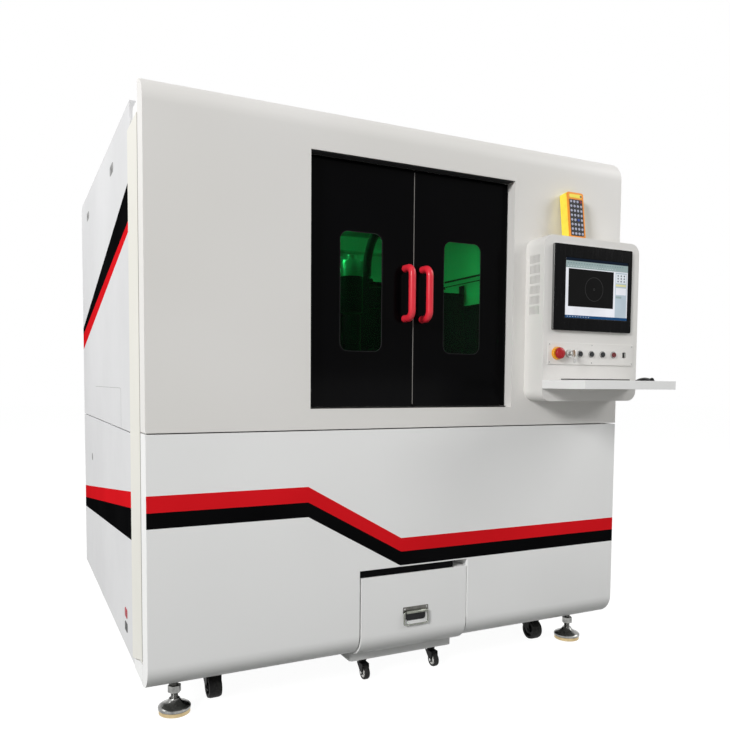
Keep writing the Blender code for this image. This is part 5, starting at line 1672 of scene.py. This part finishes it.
@dataclass
class Console(SubAssembly):
    """Operator console: vented housing, monitor and its picture."""

    picture_left: float = 0.5293
    picture_right: float = 0.8215
    picture_low: float = 1.2608
    picture_high: float = 1.4702
    layer: float = 0.12 * MM
    vent_levels: tuple[float, float] = (1.262, 1.488)

    def panel(self, name: str, box: Box, level: int,
              colour: Lit) -> None:
        """One lit rectangle of the picture.

        Args:
            name: the piece's name.
            box: left, top, right and bottom as shares of the picture.
            level: layer number from the back.
            colour: its colour.
        """
        x0, z1, x1, z0 = self.spot(box[0], box[1]) + self.spot(box[2], box[3])
        back = self.picture_y - level * self.layer
        self.add(f"display_{name}", cuboid((x0, back - self.layer * 0.8, z0), (x1, back, z1)),
                 colour.finish, "black_plastic")

    def spot(self, u: float, v: float) -> tuple[float, float]:
        """A place in the picture, from shares across and down, as X and Z."""
        return (self.picture_left + u * (self.picture_right - self.picture_left),
                self.picture_high - v * (self.picture_high - self.picture_low))

    def picture(self) -> None:
        """A generic drawing window: bars, canvas, key panel and task bar."""
        self.picture_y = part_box("monitor")[0].y + 1.95 * MM
        for name, box, level, colour in (
                ("paper", (0, 0, 1, 1), 0, Lit.PAPER),
                ("title", (0, 0, 1, 0.050), 1, Lit.TITLE),
                ("toolbar", (0, 0.050, 1, 0.165), 1, Lit.TOOLBAR),
                ("canvas", (0.042, 0.178, 0.765, 0.810), 1, Lit.CANVAS),
                ("side", (0.795, 0.178, 0.985, 0.955), 1, Lit.PANEL),
                ("side_pad", (0.805, 0.200, 0.975, 0.360), 2, Lit.BUTTON),
                ("side_stripe", (0.805, 0.380, 0.975, 0.415), 2, Lit.PALE),
                ("side_rows", (0.805, 0.440, 0.975, 0.560), 2, Lit.PAPER),
                ("side_band", (0.805, 0.585, 0.900, 0.620), 2, Lit.TOOLBAR),
                ("task", (0, 0.955, 1, 1.0), 1, Lit.TASKBAR)):
            self.panel(name, box, level, colour)
        self.marks()

    def marks(self) -> None:
        """Rows of icons, the arrow keys, and the ring that is being drawn."""
        step = (self.picture_right - self.picture_left) / 24
        front = self.picture_y - 2 * self.layer
        for name, v, size, count, colour in (("upper_icons", 0.085, 2.6 * MM, 22, Lit.ICON),
                                             ("lower_icons", 0.135, 2.2 * MM, 19, Lit.BUTTON),
                                             ("task_icons", 0.978, 2.4 * MM, 9, Lit.BUTTON)):
            x, z = self.spot(0.03, v)
            icon = cuboid((x, front - self.layer, z - size / 2), (x + size * 1.4, front,
                                                                  z + size / 2))
            self.repeat("display_" + name, icon, colour.finish, "black_plastic", count,
                        (step, 0, 0))
        x, z = self.spot(0.838, 0.232)
        arrow = extrude(polygon((x, z), 3.6 * MM, 4), Axis.Y, front - 2 * self.layer,
                        front - self.layer)
        self.repeat("display_arrows", arrow, Lit.ARROW.finish, "black_plastic", 3,
                    (15 * MM, 0, 0), 3, (0, 0, -10 * MM))
        x, z = self.spot(0.45, 0.50)
        width = self.picture_right - self.picture_left
        for name, radius in (("ring", 0.143 * width), ("hub", 0.012 * width)):
            ring = [(radius - 0.7 * MM, 0), (radius + 0.7 * MM, 0),
                    (radius + 0.7 * MM, -self.layer), (radius - 0.7 * MM, -self.layer)]
            self.add("display_" + name, lathe(ring, (x, front + 0.2 * self.layer, z), Axis.Y, 64),
                     Lit.DRAWN.finish, "black_plastic")

    def monitor(self) -> None:
        """Flat black bezel with a pale metal edge."""
        shape = self.copy_of("monitor")
        low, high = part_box("monitor")
        for face in shape.faces:
            middle = face.calc_center_median()
            reach = min(abs(middle[i] - corner[i]) for i in (0, 2) for corner in (low, high))
            if abs(face.normal.y) < 0.5 and reach < MM:
                face.material_index = 1
        piece = self.add("monitor_bezel", shape, BEZEL_ABS, "black_plastic", "machine",
                         ("monitor",))
        piece.data.materials.append(BEZEL_EDGE.material())
        soften(piece, 0.8 * MM)
        plain_mesh(piece)

    def build(self) -> None:
        """Dress the housing and build the monitor."""
        self.dress("console_housing", UPPER_COAT, 1.2 * MM)
        low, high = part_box("console_housing")
        foot, head = self.vent_levels
        mat = cuboid((low.x + 4.5 * MM, low.y + 12 * MM, foot),
                     (low.x + 6.5 * MM, high.y - 10 * MM, head))
        self.add("vent_filter_mat", mat, FILTER_FOAM, "black_plastic", edge=0.5 * MM)
        self.monitor()
        self.picture()


@dataclass
class SwitchRow(SubAssembly):
    """Switch plate: emergency stop, key switch, four push-buttons and a port."""

    z: float = 1.1345
    first_x: float = 0.500
    pitch: float = 0.053
    plate_y: float = -0.84755

    def sleeve(self, name: str, station: int, bore: float, radius: float, height: float,
               finish: Finish, slot: str) -> None:
        """A finely turned collar over the plate's plain one.

        Args:
            name: the piece's name.
            station: its place in the row, from the left.
            bore: radius of its hole.
            radius: its outer radius.
            height: how far it stands off the plate.
            finish: its finish.
            slot: the record's material slot.
        """
        skin = 0.3 * MM
        top = -height - skin
        ring = [(bore, 0), (radius + skin, 0), (radius + skin, top + 1.2 * MM),
                (radius - 0.9 * MM, top), (bore + 0.8 * MM, top), (bore, top + 0.6 * MM)]
        self.add(name, lathe(ring, self.place(station), Axis.Y, 48), finish, slot, crease=25)

    def place(self, station: int) -> Point:
        """The middle of a station on the plate's face."""
        return (self.first_x + station * self.pitch, self.plate_y, self.z)

    def stop_button(self) -> None:
        """Red mushroom head on its stem, in a yellow collar."""
        self.sleeve("stop_collar", 0, 10.5 * MM, 22 * MM, 10 * MM, YELLOW_RING, "yellow_plastic")
        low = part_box("estop_button")[0].y - self.plate_y
        front = low / MM
        head = in_mm((0, front), (9, front + 0.3), (13.5, front + 1.3), (17.5, front + 3.4),
                     (19.6, front + 6.2), (20, front + 8.5), (20, front + 12.5),
                     (19, front + 13.8), (9.7, front + 13.8), (9.7, 1.5), (0, 1.5))
        self.add("stop_head", lathe(head, self.place(0), Axis.Y, 56), RED_KNOB, "red_plastic",
                 "estop", ("estop_button",), crease=40)

    def key_switch(self) -> None:
        """Bright key barrel with a key standing in it."""
        self.sleeve("key_barrel", 1, 7.5 * MM, 14 * MM, 12 * MM, ZINC_PLATE, "zinc")
        x, y, z = self.place(1)
        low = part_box("key")[0].y
        nose = (low - y) / MM + 14
        plug = in_mm((0, nose), (5.6, nose), (6.8, nose + 1.2), (6.8, 2), (0, 2))
        self.add("key_plug", lathe(plug, (x, y, z), Axis.Y, 36), SATIN_STEEL, "zinc", "key",
                 ("key",))
        outer = rounded(low, z - 11.8 * MM, low + 17 * MM, z + 11.8 * MM, 6.5 * MM, 8)
        bow = extrude(outer, Axis.X, x - 1.1 * MM, x + 1.1 * MM)
        self.add("key_bow", bow, SATIN_STEEL, "zinc", "key", edge=0.4 * MM)
        turns = [2 * math.pi * i / 32 for i in range(33)]
        ring = [Vector((x + 7 * MM * math.sin(a), low + 3.5 * MM,
                        z - 13 * MM + 7.5 * MM * math.cos(a))) for a in turns]
        self.add("key_ring", tube(ring, 0.7 * MM, 10), SATIN_STEEL, "zinc", "key")
        spare = extrude(rounded(x - 5 * MM, z - 35 * MM, x + 5 * MM, z - 19 * MM, 4 * MM),
                        Axis.Y, low + 2.6 * MM, low + 4.4 * MM)
        self.add("spare_key", spare, SATIN_STEEL, "zinc", "key", edge=0.4 * MM)

    def push_button(self, number: int) -> None:
        """A flat lens in a bright ring; the last one's lens is dark red.

        Args:
            number: 1 to 4, from the left.
        """
        self.sleeve(f"button_{number}_ring", number + 1, 9.5 * MM, 12 * MM, 3 * MM,
                    BEZEL_EDGE, "zinc")
        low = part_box(f"push_button_{number}")[0].y - self.plate_y
        front = low / MM
        cap = in_mm((0, front + 0.4), (5.6, front + 0.2), (7.6, front), (8.8, front + 0.9),
                    (8.8, 1), (0, 1))
        lens = LENS_RED if number == 4 else LENS_DARK
        self.add(f"button_{number}_lens", lathe(cap, self.place(number + 1), Axis.Y, 40), lens,
                 "black_plastic", f"button_{number}", (f"push_button_{number}",))

    def port(self) -> None:
        """A small dark socket with a rounded frame."""
        x, y, z = self.place(6)
        half, tall, wall = 6.6 * MM, 10 * MM, 1.5 * MM
        front, back = y - 0.9 * MM, y + 0.2 * MM
        bars = [cuboid((x - half, front, z + at), (x + half, back, z + at + wall))
                for at in (-tall, tall - wall)]
        bars += [cuboid((x + at, front, z - tall), (x + at + wall, back, z + tall))
                 for at in (-half, half - wall)]
        self.add("port_frame", together(bars), BLACK_ABS, "black_plastic")

    def build(self) -> None:
        """Dress the plate and fit its stations."""
        self.dress("switch_plate", UPPER_COAT, 0.6 * MM)
        self.stop_button()
        self.key_switch()
        for number in range(1, 5):
            self.push_button(number)
        self.port()
        low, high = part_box("switch_plate")
        inset = 7 * MM
        middle = (low.x + high.x) / 2
        points = [(x, self.plate_y, z) for x in (low.x + inset, middle, high.x - inset)
                  for z in (low.z + inset, high.z - inset)]
        self.screw("switch_plate_screws", points, FACING_FRONT, 2.6 * MM, 1.4 * MM)


@dataclass
class TrayAndMouse(SubAssembly):
    """Fold-out keyboard pan with a mouse on it."""

    seal_start: float = 0.525

    def mouse(self) -> None:
        """A low dome with a wheel."""
        low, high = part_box("mouse")
        middle = (low + high) / 2
        shape = bmesh.new()
        bmesh.ops.create_uvsphere(shape, u_segments=48, v_segments=32, radius=1.0)
        half = (high - low) / 2
        for vert in shape.verts:
            x, y, z = vert.co
            if z > 0:
                back = 0.86 + 0.14 * (1 - max(0.0, -y))
                z = z * back
                place = (middle.x + x * half.x, middle.y + y * half.y, low.z + 0.30 * half.z
                         + z * 1.70 * half.z)
            else:
                place = (middle.x + x * half.x * (1 + 0.05 * z), middle.y + y * half.y,
                         low.z + (1 + z) * 0.30 * half.z)
            vert.co = place
        bmesh.ops.recalc_face_normals(shape, faces=shape.faces)
        self.add("mouse_dome", shape, DOME_ABS, "black_plastic", "machine", ("mouse",),
                 crease=60)
        wheel = there_and_back(in_mm((0, -3), (7.2, -3), (8, -2)))
        self.add("mouse_wheel", lathe(wheel, (middle.x, low.y + 26 * MM, high.z - 9 * MM),
                                      Axis.X, 28), BLACK_RUBBER_AND_SHADE, "black_plastic")

    def build(self) -> None:
        """Dress the tray and set the mouse on it."""
        self.dress("keyboard_tray", WHITE_COAT, 1.0 * MM)
        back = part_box("keyboard_tray")[1]
        # A black strip along the console's face just over the tray paints the shadow in the gap
        # there.
        strip = cuboid((self.seal_start, back.y - 1.2 * MM, back.z + 3 * MM),
                       (back.x, back.y - 0.1 * MM, back.z + 6 * MM))
        self.add("tray_hinge_seal", strip, BLACK_RUBBER_AND_SHADE, "black_plastic")
        self.mouse()


@dataclass
class HandRemote(SubAssembly):
    """Wireless jog remote, leaning back: yellow shell, orange face and columns of keys."""

    columns: int = 4
    rows: int = 8
    low: Point = (0.5845, -0.8083, 1.5453)
    high: Point = (0.6610, -0.7653, 1.7153)
    lean: float = 7.0

    def leaned(self, shape: Mesh) -> Mesh:
        """Tip an upright shape back about the remote's lower rear edge.

        Args:
            shape: the upright shape.

        Returns:
            The same shape, leaning.
        """
        pivot = Matrix.Translation((0, self.high[1], self.low[2]))
        shape.transform(pivot @ self.tip @ pivot.inverted())
        return shape

    @property
    def tip(self) -> Matrix:
        """The lean as a rotation."""
        return Matrix.Rotation(math.radians(-self.lean), 4, "X")

    def pad(self, box: Box, radius: float, front: float,
            back: float) -> Mesh:
        """A leaning plate with round corners."""
        return self.leaned(extrude(rounded(*box, radius, 8), Axis.Y, self.low[1] + front,
                                   self.low[1] + back))

    def build(self) -> None:
        """Build the shell, face, mat and keys."""
        (left, face_y, base), (right, _, top) = self.low, self.high
        self.add("remote_shell", self.pad((left, base, right, top), 9 * MM, 7 * MM,
                 self.high[1] - face_y), YELLOW_SHELL, "yellow_plastic", "machine", ("remote",),
                 2.5 * MM)
        rim = 0.6 * MM
        self.add("remote_face", self.pad((left + rim, base + rim, right - rim, top - rim), 9 * MM,
                 2 * MM, 7.4 * MM), ORANGE_SHELL, "yellow_plastic", edge=1.6 * MM)
        mat_left, mat_right = left + 8 * MM, right - 8 * MM
        mat_low, mat_high = base + 9 * MM, top - 27 * MM
        self.add("remote_key_mat", self.pad((mat_left, mat_low, mat_right, mat_high), 3 * MM,
                 1.3 * MM, 2.4 * MM), KEYPAD_BLACK, "black_plastic", edge=0.4 * MM)
        step = ((mat_right - mat_left) / self.columns, (mat_high - mat_low) / self.rows)
        first = (mat_left + step[0] / 2, mat_low + step[1] / 2)

        def key(column: int, row: int) -> Mesh:
            """One domed key.

            Args:
                column: its column, from the left.
                row: its row, from the bottom.

            Returns:
                The closed mesh, leaning with the remote.
            """
            x, z = first[0] + column * step[0], first[1] + row * step[1]
            r = min(step) * 0.33
            dome = [(0, -1.2 * MM), (r * 0.6, -1.1 * MM), (r * 0.92, -0.7 * MM), (r, 0.2 * MM),
                    (0, 0.2 * MM)]
            return self.leaned(lathe(dome, (x, face_y + 1.3 * MM, z), Axis.Y, 14))

        slot = "black_plastic"
        across, up = (step[0], 0, 0), tuple(self.tip @ Vector((0, 0, step[1])))
        for word, place, columns, rows in (("low", (0, 0), 4, 3), ("left", (0, 3), 2, 5),
                                           ("third", (2, 4), 1, 4), ("fourth", (3, 3), 1, 4)):
            self.repeat(f"remote_keys_{word}", key(*place), KEY_PALE, slot, columns, across,
                        rows, up)
        self.add("remote_key_blue", key(2, 3), KEY_BLUE, slot)
        self.add("remote_key_red", key(3, 7), KEY_RED, slot)
        self.add("remote_top_plate", self.pad((mat_left + 2 * MM, top - 21 * MM,
                 mat_right - 2 * MM, top - 8 * MM), 3 * MM, 1.5 * MM, 2.4 * MM), YELLOW_SHELL,
                 "yellow_plastic", edge=0.4 * MM)
        stub = in_mm((0, -0.5), (4, -0.5), (4, 0), (0, 0))
        lamp = lathe(stub, (right - 14 * MM, face_y + 1.5 * MM, top - 14.5 * MM), Axis.Y, 20)
        self.add("remote_lamp", self.leaned(lamp), LENS_RED, slot)


@dataclass
class ScrapCart(SubAssembly):
    """Roll-out scrap cart: front, tub, base and its bail handle."""

    plate_top: float = 0.270
    shoulder: float = 0.249
    plate_bottom: float = 0.223
    plate_half: float = 48.5 * MM
    barrel_z: float = 0.2525
    barrel_half: float = 38.5 * MM
    drop: float = 43.5 * MM

    def handle(self) -> None:
        """Two-part back plate, rolled barrel and the hanging wire bail."""
        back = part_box("cart_handle_plate")[1].y
        front = back - 2 * MM
        upper = extrude(rounded(-self.plate_half, self.shoulder, self.plate_half, self.plate_top,
                                2 * MM, 4), Axis.Y, front, back)
        self.add("bail_upper_plate", upper, DARK_STEEL, "dark_steel", "cart",
                 ("cart_handle_plate",), 0.5 * MM)
        low = self.barrel_half - 0.6 * MM
        cut = 6 * MM
        outline = [(-low, self.shoulder + 0.5 * MM), (-low, self.plate_bottom + cut),
                   (cut - low, self.plate_bottom), (low - cut, self.plate_bottom),
                   (low, self.plate_bottom + cut), (low, self.shoulder + 0.5 * MM)]
        self.add("bail_lower_plate", extrude(outline, Axis.Y, front + 0.2 * MM, back),
                 SLOT_DARK, "dark_steel", "cart", edge=0.4 * MM)
        axis_y = front - 3.85 * MM
        bore, r = 2.95 * MM, 5.5 * MM
        deep = self.barrel_half - 8 * MM
        ring = [(0, -deep), (bore, -deep), (bore, -self.barrel_half), (r - 0.5 * MM,
                -self.barrel_half), (r, -self.barrel_half + 0.5 * MM)]
        self.add("bail_barrel", lathe(there_and_back(ring), (0, axis_y, self.barrel_z), Axis.X, 32),
                 BAIL_STEEL, "dark_steel", "cart", crease=45)
        wire = 2.5 * MM
        leg = self.plate_half - wire
        tip = deep + 0.8 * MM
        bottom = self.barrel_z - self.drop
        corners = [(-tip, axis_y, self.barrel_z), (-leg, axis_y, self.barrel_z),
                   (-leg, axis_y, bottom), (leg, axis_y, bottom),
                   (leg, axis_y, self.barrel_z), (tip, axis_y, self.barrel_z)]
        self.add("bail_wire", tube(fillet(corners, 6 * MM, 8), wire, 16), BAIL_STEEL,
                 "dark_steel", "bail", ("cart_bail",), crease=60)
        points = [(s * (self.plate_half - 6 * MM), front, self.plate_top - 6.5 * MM)
                  for s in (-1, 1)]
        self.screw("bail_plate_screws", points, FACING_FRONT, 3.2 * MM, 1.6 * MM, body="cart",
                   slot="dark_steel")

    def build(self) -> None:
        """Dress the cart and fit its handle."""
        self.dress("cart_front", WHITE_COAT, 2.2 * MM)
        low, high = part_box("cart_base")
        slab = extrude(rounded(low.x, low.y, high.x, high.y, 12 * MM), Axis.Z, low.z, high.z)
        self.add("cart_base_slab", slab, WHITE_COAT, "white_paint", "cart", ("cart_base",),
                 3.0 * MM)
        self.dress("cart_bin", BIN_COAT, 0.6 * MM)
        self.handle()


@dataclass
class Caster(SubAssembly):
    """A swivel caster: race, forged fork, axle bolt and wheel."""

    name: str = ""
    wheel: float = 25 * MM
    tread: float = 9 * MM
    trail: float = 20 * MM
    bright_bolt: bool = True

    def __post_init__(self) -> None:
        """Take the places of the axle, the swivel and the plate from the frame."""
        self.fork, self.roller = self.name + "_fork", self.name + "_wheel"
        low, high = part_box(self.roller)
        self.axle = (low + high) / 2
        self.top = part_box(self.fork)[1].z + 0.3 * MM
        self.swivel_y = self.axle.y + self.trail
        self.cheek_in = self.tread + 1.6 * MM
        self.cheek_out = self.cheek_in + 3 * MM
        self.bridge = self.axle.z + self.wheel + 3 * MM
        self.reach = self.wheel * 0.62
        self.boss = 8.8 * MM if self.wheel < 30 * MM else 10 * MM

    def fork_and_race(self) -> None:
        """Two cheeks swept back to the axle, the crown over them and the swivel race."""
        x, y, r, bridge, boss = self.axle.x, self.axle.y, self.wheel, self.bridge, self.boss
        rear = self.swivel_y + self.reach
        outline = [(rear, bridge + 3 * MM), (rear, bridge - r * 0.10),
                   (self.swivel_y + self.reach * 0.75, bridge - r * 0.30)]
        for i in range(15):
            turn = math.radians(-20 - 180 * i / 14)
            outline.append((y + boss * math.cos(turn), self.axle.z + boss * math.sin(turn)))
        outline += [(y - boss * 0.96, bridge - r * 0.25), (y - boss * 0.80, bridge + 3 * MM)]
        parts = [extrude(outline, Axis.X, x + s * self.cheek_in, x + s * self.cheek_out)
                 for s in (-1, 1)]
        parts.append(cuboid((x - self.cheek_out, y - boss * 0.80, bridge),
                            (x + self.cheek_out, rear, bridge + 3 * MM)))
        self.add(self.fork + "_cheeks", together(parts), BLACK_COAT, "black_plastic", self.fork,
                 (self.fork,), 0.8 * MM)
        wide, neck, low = self.reach * 0.98, self.reach * 0.80, bridge + 2.9 * MM
        race = [(0, low), (self.reach * 0.86, low), (wide, bridge + (self.top - bridge) * 0.45),
                (wide, self.top - 5.2 * MM), (neck, self.top - 3.4 * MM),
                (neck, self.top - 2.2 * MM), (0, self.top - 2.2 * MM)]
        self.add(self.fork + "_race", lathe(race, (x, self.swivel_y, 0), Axis.Z, 32), BLACK_COAT,
                 "black_plastic", self.fork)

    def top_plate(self) -> None:
        """The plate under the machine or the cart, with bolts where they show."""
        x, y, top = self.axle.x, self.swivel_y, self.top
        half = min(self.reach * 1.5, 0.92 * self.cheek_out + 10.5 * MM)
        plate = extrude(rounded(x - half, y - half, x + half, y + half, 4 * MM), Axis.Z,
                        top - 2.4 * MM, top - 0.3 * MM)
        holder = "cart" if self.fork.startswith("cart") else "machine"
        self.add(self.name + "_plate", plate, BLACK_COAT, "black_plastic", holder, edge=0.5 * MM)
        if self.bright_bolt:
            bolts = [(x + a * half * 0.78, y + b * half * 0.78, top - 2.4 * MM)
                     for a in (-1, 1) for b in (-1, 1)]
            self.screw(self.name + "_plate_bolts", bolts, FACING_DOWN, 3.6 * MM, 2.6 * MM,
                       body=holder)

    def fasteners(self) -> None:
        """Nuts on the axle's ends and the bolt in the race's side."""
        x, out = self.axle.x, self.cheek_out
        nut = polygon((self.axle.y, self.axle.z), 5.4 * MM, 6, 30)
        nuts = [extrude(nut, Axis.X, x + s * out, x + s * (out + 2.4 * MM)) for s in (-1, 1)]
        self.add(self.fork + "_axle_nuts", together(nuts),
                 ZINC_PLATE if self.bright_bolt else SLOT_DARK, "zinc", self.fork, edge=0.4 * MM)
        bolt = lathe(in_mm((0, 0), (5.5, 0), (5.5, 2.4), (4.2, 3.4), (0, 3.4)),
                     (x - self.reach * 0.98 - 3 * MM, self.swivel_y,
                      (self.bridge + self.top) / 2), Axis.X, 20)
        self.add(self.fork + "_side_bolt", bolt, ZINC_PLATE, "zinc", self.fork)

    def rolling(self) -> None:
        """Tread and hub."""
        r, half = self.wheel, self.tread
        tread = there_and_back([(r * 0.70, -half), (r * 0.94, -half), (r, -half * 0.62)])
        self.add(self.roller + "_tread", lathe(tread, self.axle, Axis.X, 48), TREAD, "tyre",
                 self.roller, (self.roller,), crease=25)
        boss = half + 1.4 * MM
        hub = there_and_back([(4.4 * MM, -boss), (r * 0.34, -boss), (r * 0.38, -half * 0.7),
                              (r * 0.62, -half * 0.6), (r * 0.71, -half * 0.92)])
        self.add(self.roller + "_hub", lathe(hub, self.axle, Axis.X, 40),
                 HUB_GREY if self.bright_bolt else BLACK_ABS, "tyre", self.roller)

    def build(self) -> None:
        """Build the fork's pieces, then the wheel's."""
        self.fork_and_race()
        self.top_plate()
        self.fasteners()
        self.rolling()


@dataclass
class LevellingFoot(SubAssembly):
    """Plated pad on a threaded stud, with a lock nut under the sill."""

    node: str = "front_left_foot"
    stud: float = 11 * MM
    pitch: float = 2.5 * MM

    def build(self) -> None:
        """Build the ring, cone, stud, lock nut and collar."""
        low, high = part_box(self.node)
        centre = ((low.x + high.x) / 2, (low.y + high.y) / 2, 0.0)
        s, top = self.stud, high.z
        ring = in_mm((0, 0), (46, 0), (48, 1.2), (48, 12), (46.5, 13.2), (0, 13.2))
        cone = in_mm((0, 13), (48.8, 13), (50, 14.5), (50, 21), (48.5, 23), (44, 26), (32, 31),
                     (21, 38), (16, 46), (0, 46))
        for word, profile, finish, crease in (("base_ring", ring, BRASS_RING, 32),
                                              ("cone", cone, FOOT_CHROME, 28)):
            self.add(f"{self.node}_{word}", lathe(profile, centre, Axis.Z, 56), finish, "zinc",
                     replaces=(self.node,) if word == "cone" else (), crease=crease)
        turns = int((top - 46 * MM) / self.pitch)
        thread = [(0, 45 * MM), (s, 45 * MM)]
        for i in range(turns):
            z = 46 * MM + i * self.pitch
            thread += [(s, z + 0.3 * MM), (s * 0.90, z + self.pitch * 0.5)]
        thread += [(s, top), (0, top)]
        self.add(self.node + "_stud", lathe(thread, centre, Axis.Z, 24), FOOT_CHROME, "zinc",
                 crease=20)
        across = 18 * MM / math.cos(math.pi / 6)
        nut = extrude(polygon(centre[:2], across, 6), Axis.Z, 65 * MM, 87 * MM)
        self.add(self.node + "_lock_nut", nut, FOOT_CHROME, "zinc", edge=1.2 * MM)
        collar = [(0, top - 14 * MM), (12.5 * MM, top - 14 * MM), (19 * MM, top - 3 * MM),
                  (19 * MM, top - 0.2 * MM), (0, top - 0.2 * MM)]
        self.add(self.node + "_collar", lathe(collar, centre, Axis.Z, 32), WHITE_COAT, "zinc")


@dataclass
class Studio:
    """Pale floor and soft light; the backdrop is white where nothing else shows."""

    ambient: float = 0.24
    floor_albedo: str = "6a6c6a"
    floor_glow: float = 0.96
    floor_half: float = 30.0
    eye: Point = (-1.2363, -2.86165, 1.0257)
    turn: Point = (26.158, -3.289, 0.424)   # yaw, pitch and roll in degrees
    focal: float = 730.23                   # the solved view, in pixels of the photograph
    frame: float = 730.0
    centre_row: float = 424.83
    sensor: float = 36.0

    def backdrop_ray(self, tree: Tree) -> Socket:
        """1 for rays that show the backdrop: camera, glossy and transmission.

        Args:
            tree: the material's or the world's tree.

        Returns:
            The factor's socket.
        """
        path = add_node(tree, "ShaderNodeLightPath").outputs
        first = add_node(tree, "ShaderNodeMath", {0: path["Is Camera Ray"],
                         1: path["Is Glossy Ray"]}, operation="MAXIMUM")
        both = add_node(tree, "ShaderNodeMath", {0: first.outputs[0],
                        1: path["Is Transmission Ray"]}, operation="MAXIMUM")
        return both.outputs[0]

    def world(self) -> None:
        """Even white surroundings, brighter to the camera than to the object."""
        world = bpy.data.worlds.new("studio")
        world.use_nodes = True
        bpy.context.scene.world = world
        tree = world.node_tree
        tree.nodes.clear()
        level = add_node(tree, "ShaderNodeMapRange", {"Value": self.backdrop_ray(tree),
                         "To Min": self.ambient, "To Max": 1.0})
        light = add_node(tree, "ShaderNodeBackground", {"Color": (1, 1, 1, 1),
                         "Strength": level.outputs[0]})
        add_node(tree, "ShaderNodeOutputWorld", {0: light.outputs[0]})

    def floor(self) -> None:
        """A wide pale floor that keeps the machine's shadow."""
        mesh = bpy.data.meshes.new("floor")
        size = self.floor_half
        mesh.from_pydata([(-size, -size, 0), (size, -size, 0), (size, size, 0), (-size, size, 0)],
                         [], [(0, 1, 2, 3)])
        piece = link_mesh("floor", mesh)
        material = bpy.data.materials.new("studio_floor")
        material.use_nodes = True
        tree = material.node_tree
        tree.nodes.clear()
        diffuse = add_node(tree, "ShaderNodeBsdfDiffuse", {"Color": srgb(self.floor_albedo)})
        glow = add_node(tree, "ShaderNodeMath", {0: self.backdrop_ray(tree),
                        1: self.floor_glow}, operation="MULTIPLY")
        lift = add_node(tree, "ShaderNodeEmission", {"Color": (1, 1, 1, 1),
                        "Strength": glow.outputs[0]})
        both = add_node(tree, "ShaderNodeAddShader", {0: diffuse.outputs[0], 1: lift.outputs[0]})
        add_node(tree, "ShaderNodeOutputMaterial", {0: both.outputs[0]})
        mesh.materials.append(material)

    def lamp(self, name: str, place: Point, target: Point, size: tuple[float, float],
             power: float) -> None:
        """A soft rectangular lamp.

        Args:
            name: the lamp's name.
            place: where it stands.
            target: what it points at.
            size: its width and height.
            power: its power in watts.
        """
        data = bpy.data.lights.new(name, "AREA")
        data.shape = "RECTANGLE"
        data.size, data.size_y = size
        data.energy = power
        lamp = bpy.data.objects.new(name, data)
        aim = Vector(target) - Vector(place)
        lamp.rotation_euler = aim.to_track_quat("-Z", "Y").to_euler()
        lamp.location = place
        bpy.context.collection.objects.link(lamp)

    def camera(self) -> None:
        """The photograph's viewpoint, solved from the machine's own edges."""
        yaw, pitch, roll = (math.radians(a) for a in self.turn)
        right = Vector((math.cos(yaw), -math.sin(yaw), 0))
        ahead = Vector((math.sin(yaw) * math.cos(pitch), math.cos(yaw) * math.cos(pitch),
                        math.sin(pitch)))
        up = right.cross(ahead)
        across = right * math.cos(roll) + up * math.sin(roll)
        upward = up * math.cos(roll) - right * math.sin(roll)
        data = bpy.data.cameras.new("camera")
        data.sensor_width = self.sensor
        data.lens = self.focal * self.sensor / self.frame
        data.shift_y = (self.centre_row - self.frame / 2) / self.frame
        camera = bpy.data.objects.new("camera", data)
        turn = Matrix((across, upward, -ahead)).transposed().to_4x4()
        camera.matrix_world = Matrix.Translation(self.eye) @ turn
        bpy.context.collection.objects.link(camera)
        bpy.context.scene.camera = camera

    def build(self) -> None:
        """Set the view, floor, world, lamps and camera."""
        bpy.context.scene.view_settings.view_transform = "Standard"
        self.camera()
        self.world()
        self.floor()
        middle = (0.0, -0.3, 1.0)
        self.lamp("key", (-8.5, -5.5, 5.0), middle, (2.5, 2.5), 845)
        self.lamp("right_fill", (4.5, -2.5, 4.0), middle, (3.0, 3.0), 150)
        self.lamp("left_rear", (-3.5, 0.5, 3.2), middle, (1.5, 1.5), 34)
        self.lamp("behind", (2.0, 8.0, 4.0), middle, (4.0, 4.0), 260)
        self.lamp("low_front", (0.0, -2.5, 0.8), middle, (2.5, 0.5), 4)


def clear_scene() -> None:
    """Remove what a new file holds."""
    for piece in list(bpy.data.objects):
        bpy.data.objects.remove(piece)


def main() -> None:
    """Build every sub-assembly in order."""
    logging.basicConfig(level=logging.INFO, format="%(message)s")
    clear_scene()
    model = PackedModel.load()
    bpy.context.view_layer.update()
    Studio().build()
    groups: list[SubAssembly] = [Enclosure(model), PanelFittings(model), Doors(model),
                                 Chamber(model), Console(model), SwitchRow(model),
                                 TrayAndMouse(model), HandRemote(model), ScrapCart(model)]
    for end in ("front", "rear"):
        for side in Side:
            place = f"{end}_{side.word}"
            groups.append(Caster(model, name=f"{place}_caster", wheel=37.5 * MM, tread=20.5 * MM,
                                 trail=30 * MM, bright_bolt=False))
            groups.append(Caster(model, name=f"cart_{place}_caster"))
            groups.append(LevellingFoot(model, node=f"{place}_foot"))
    for group in groups:
        group.build()
        group.report()


if __name__ == "__main__":
    main()
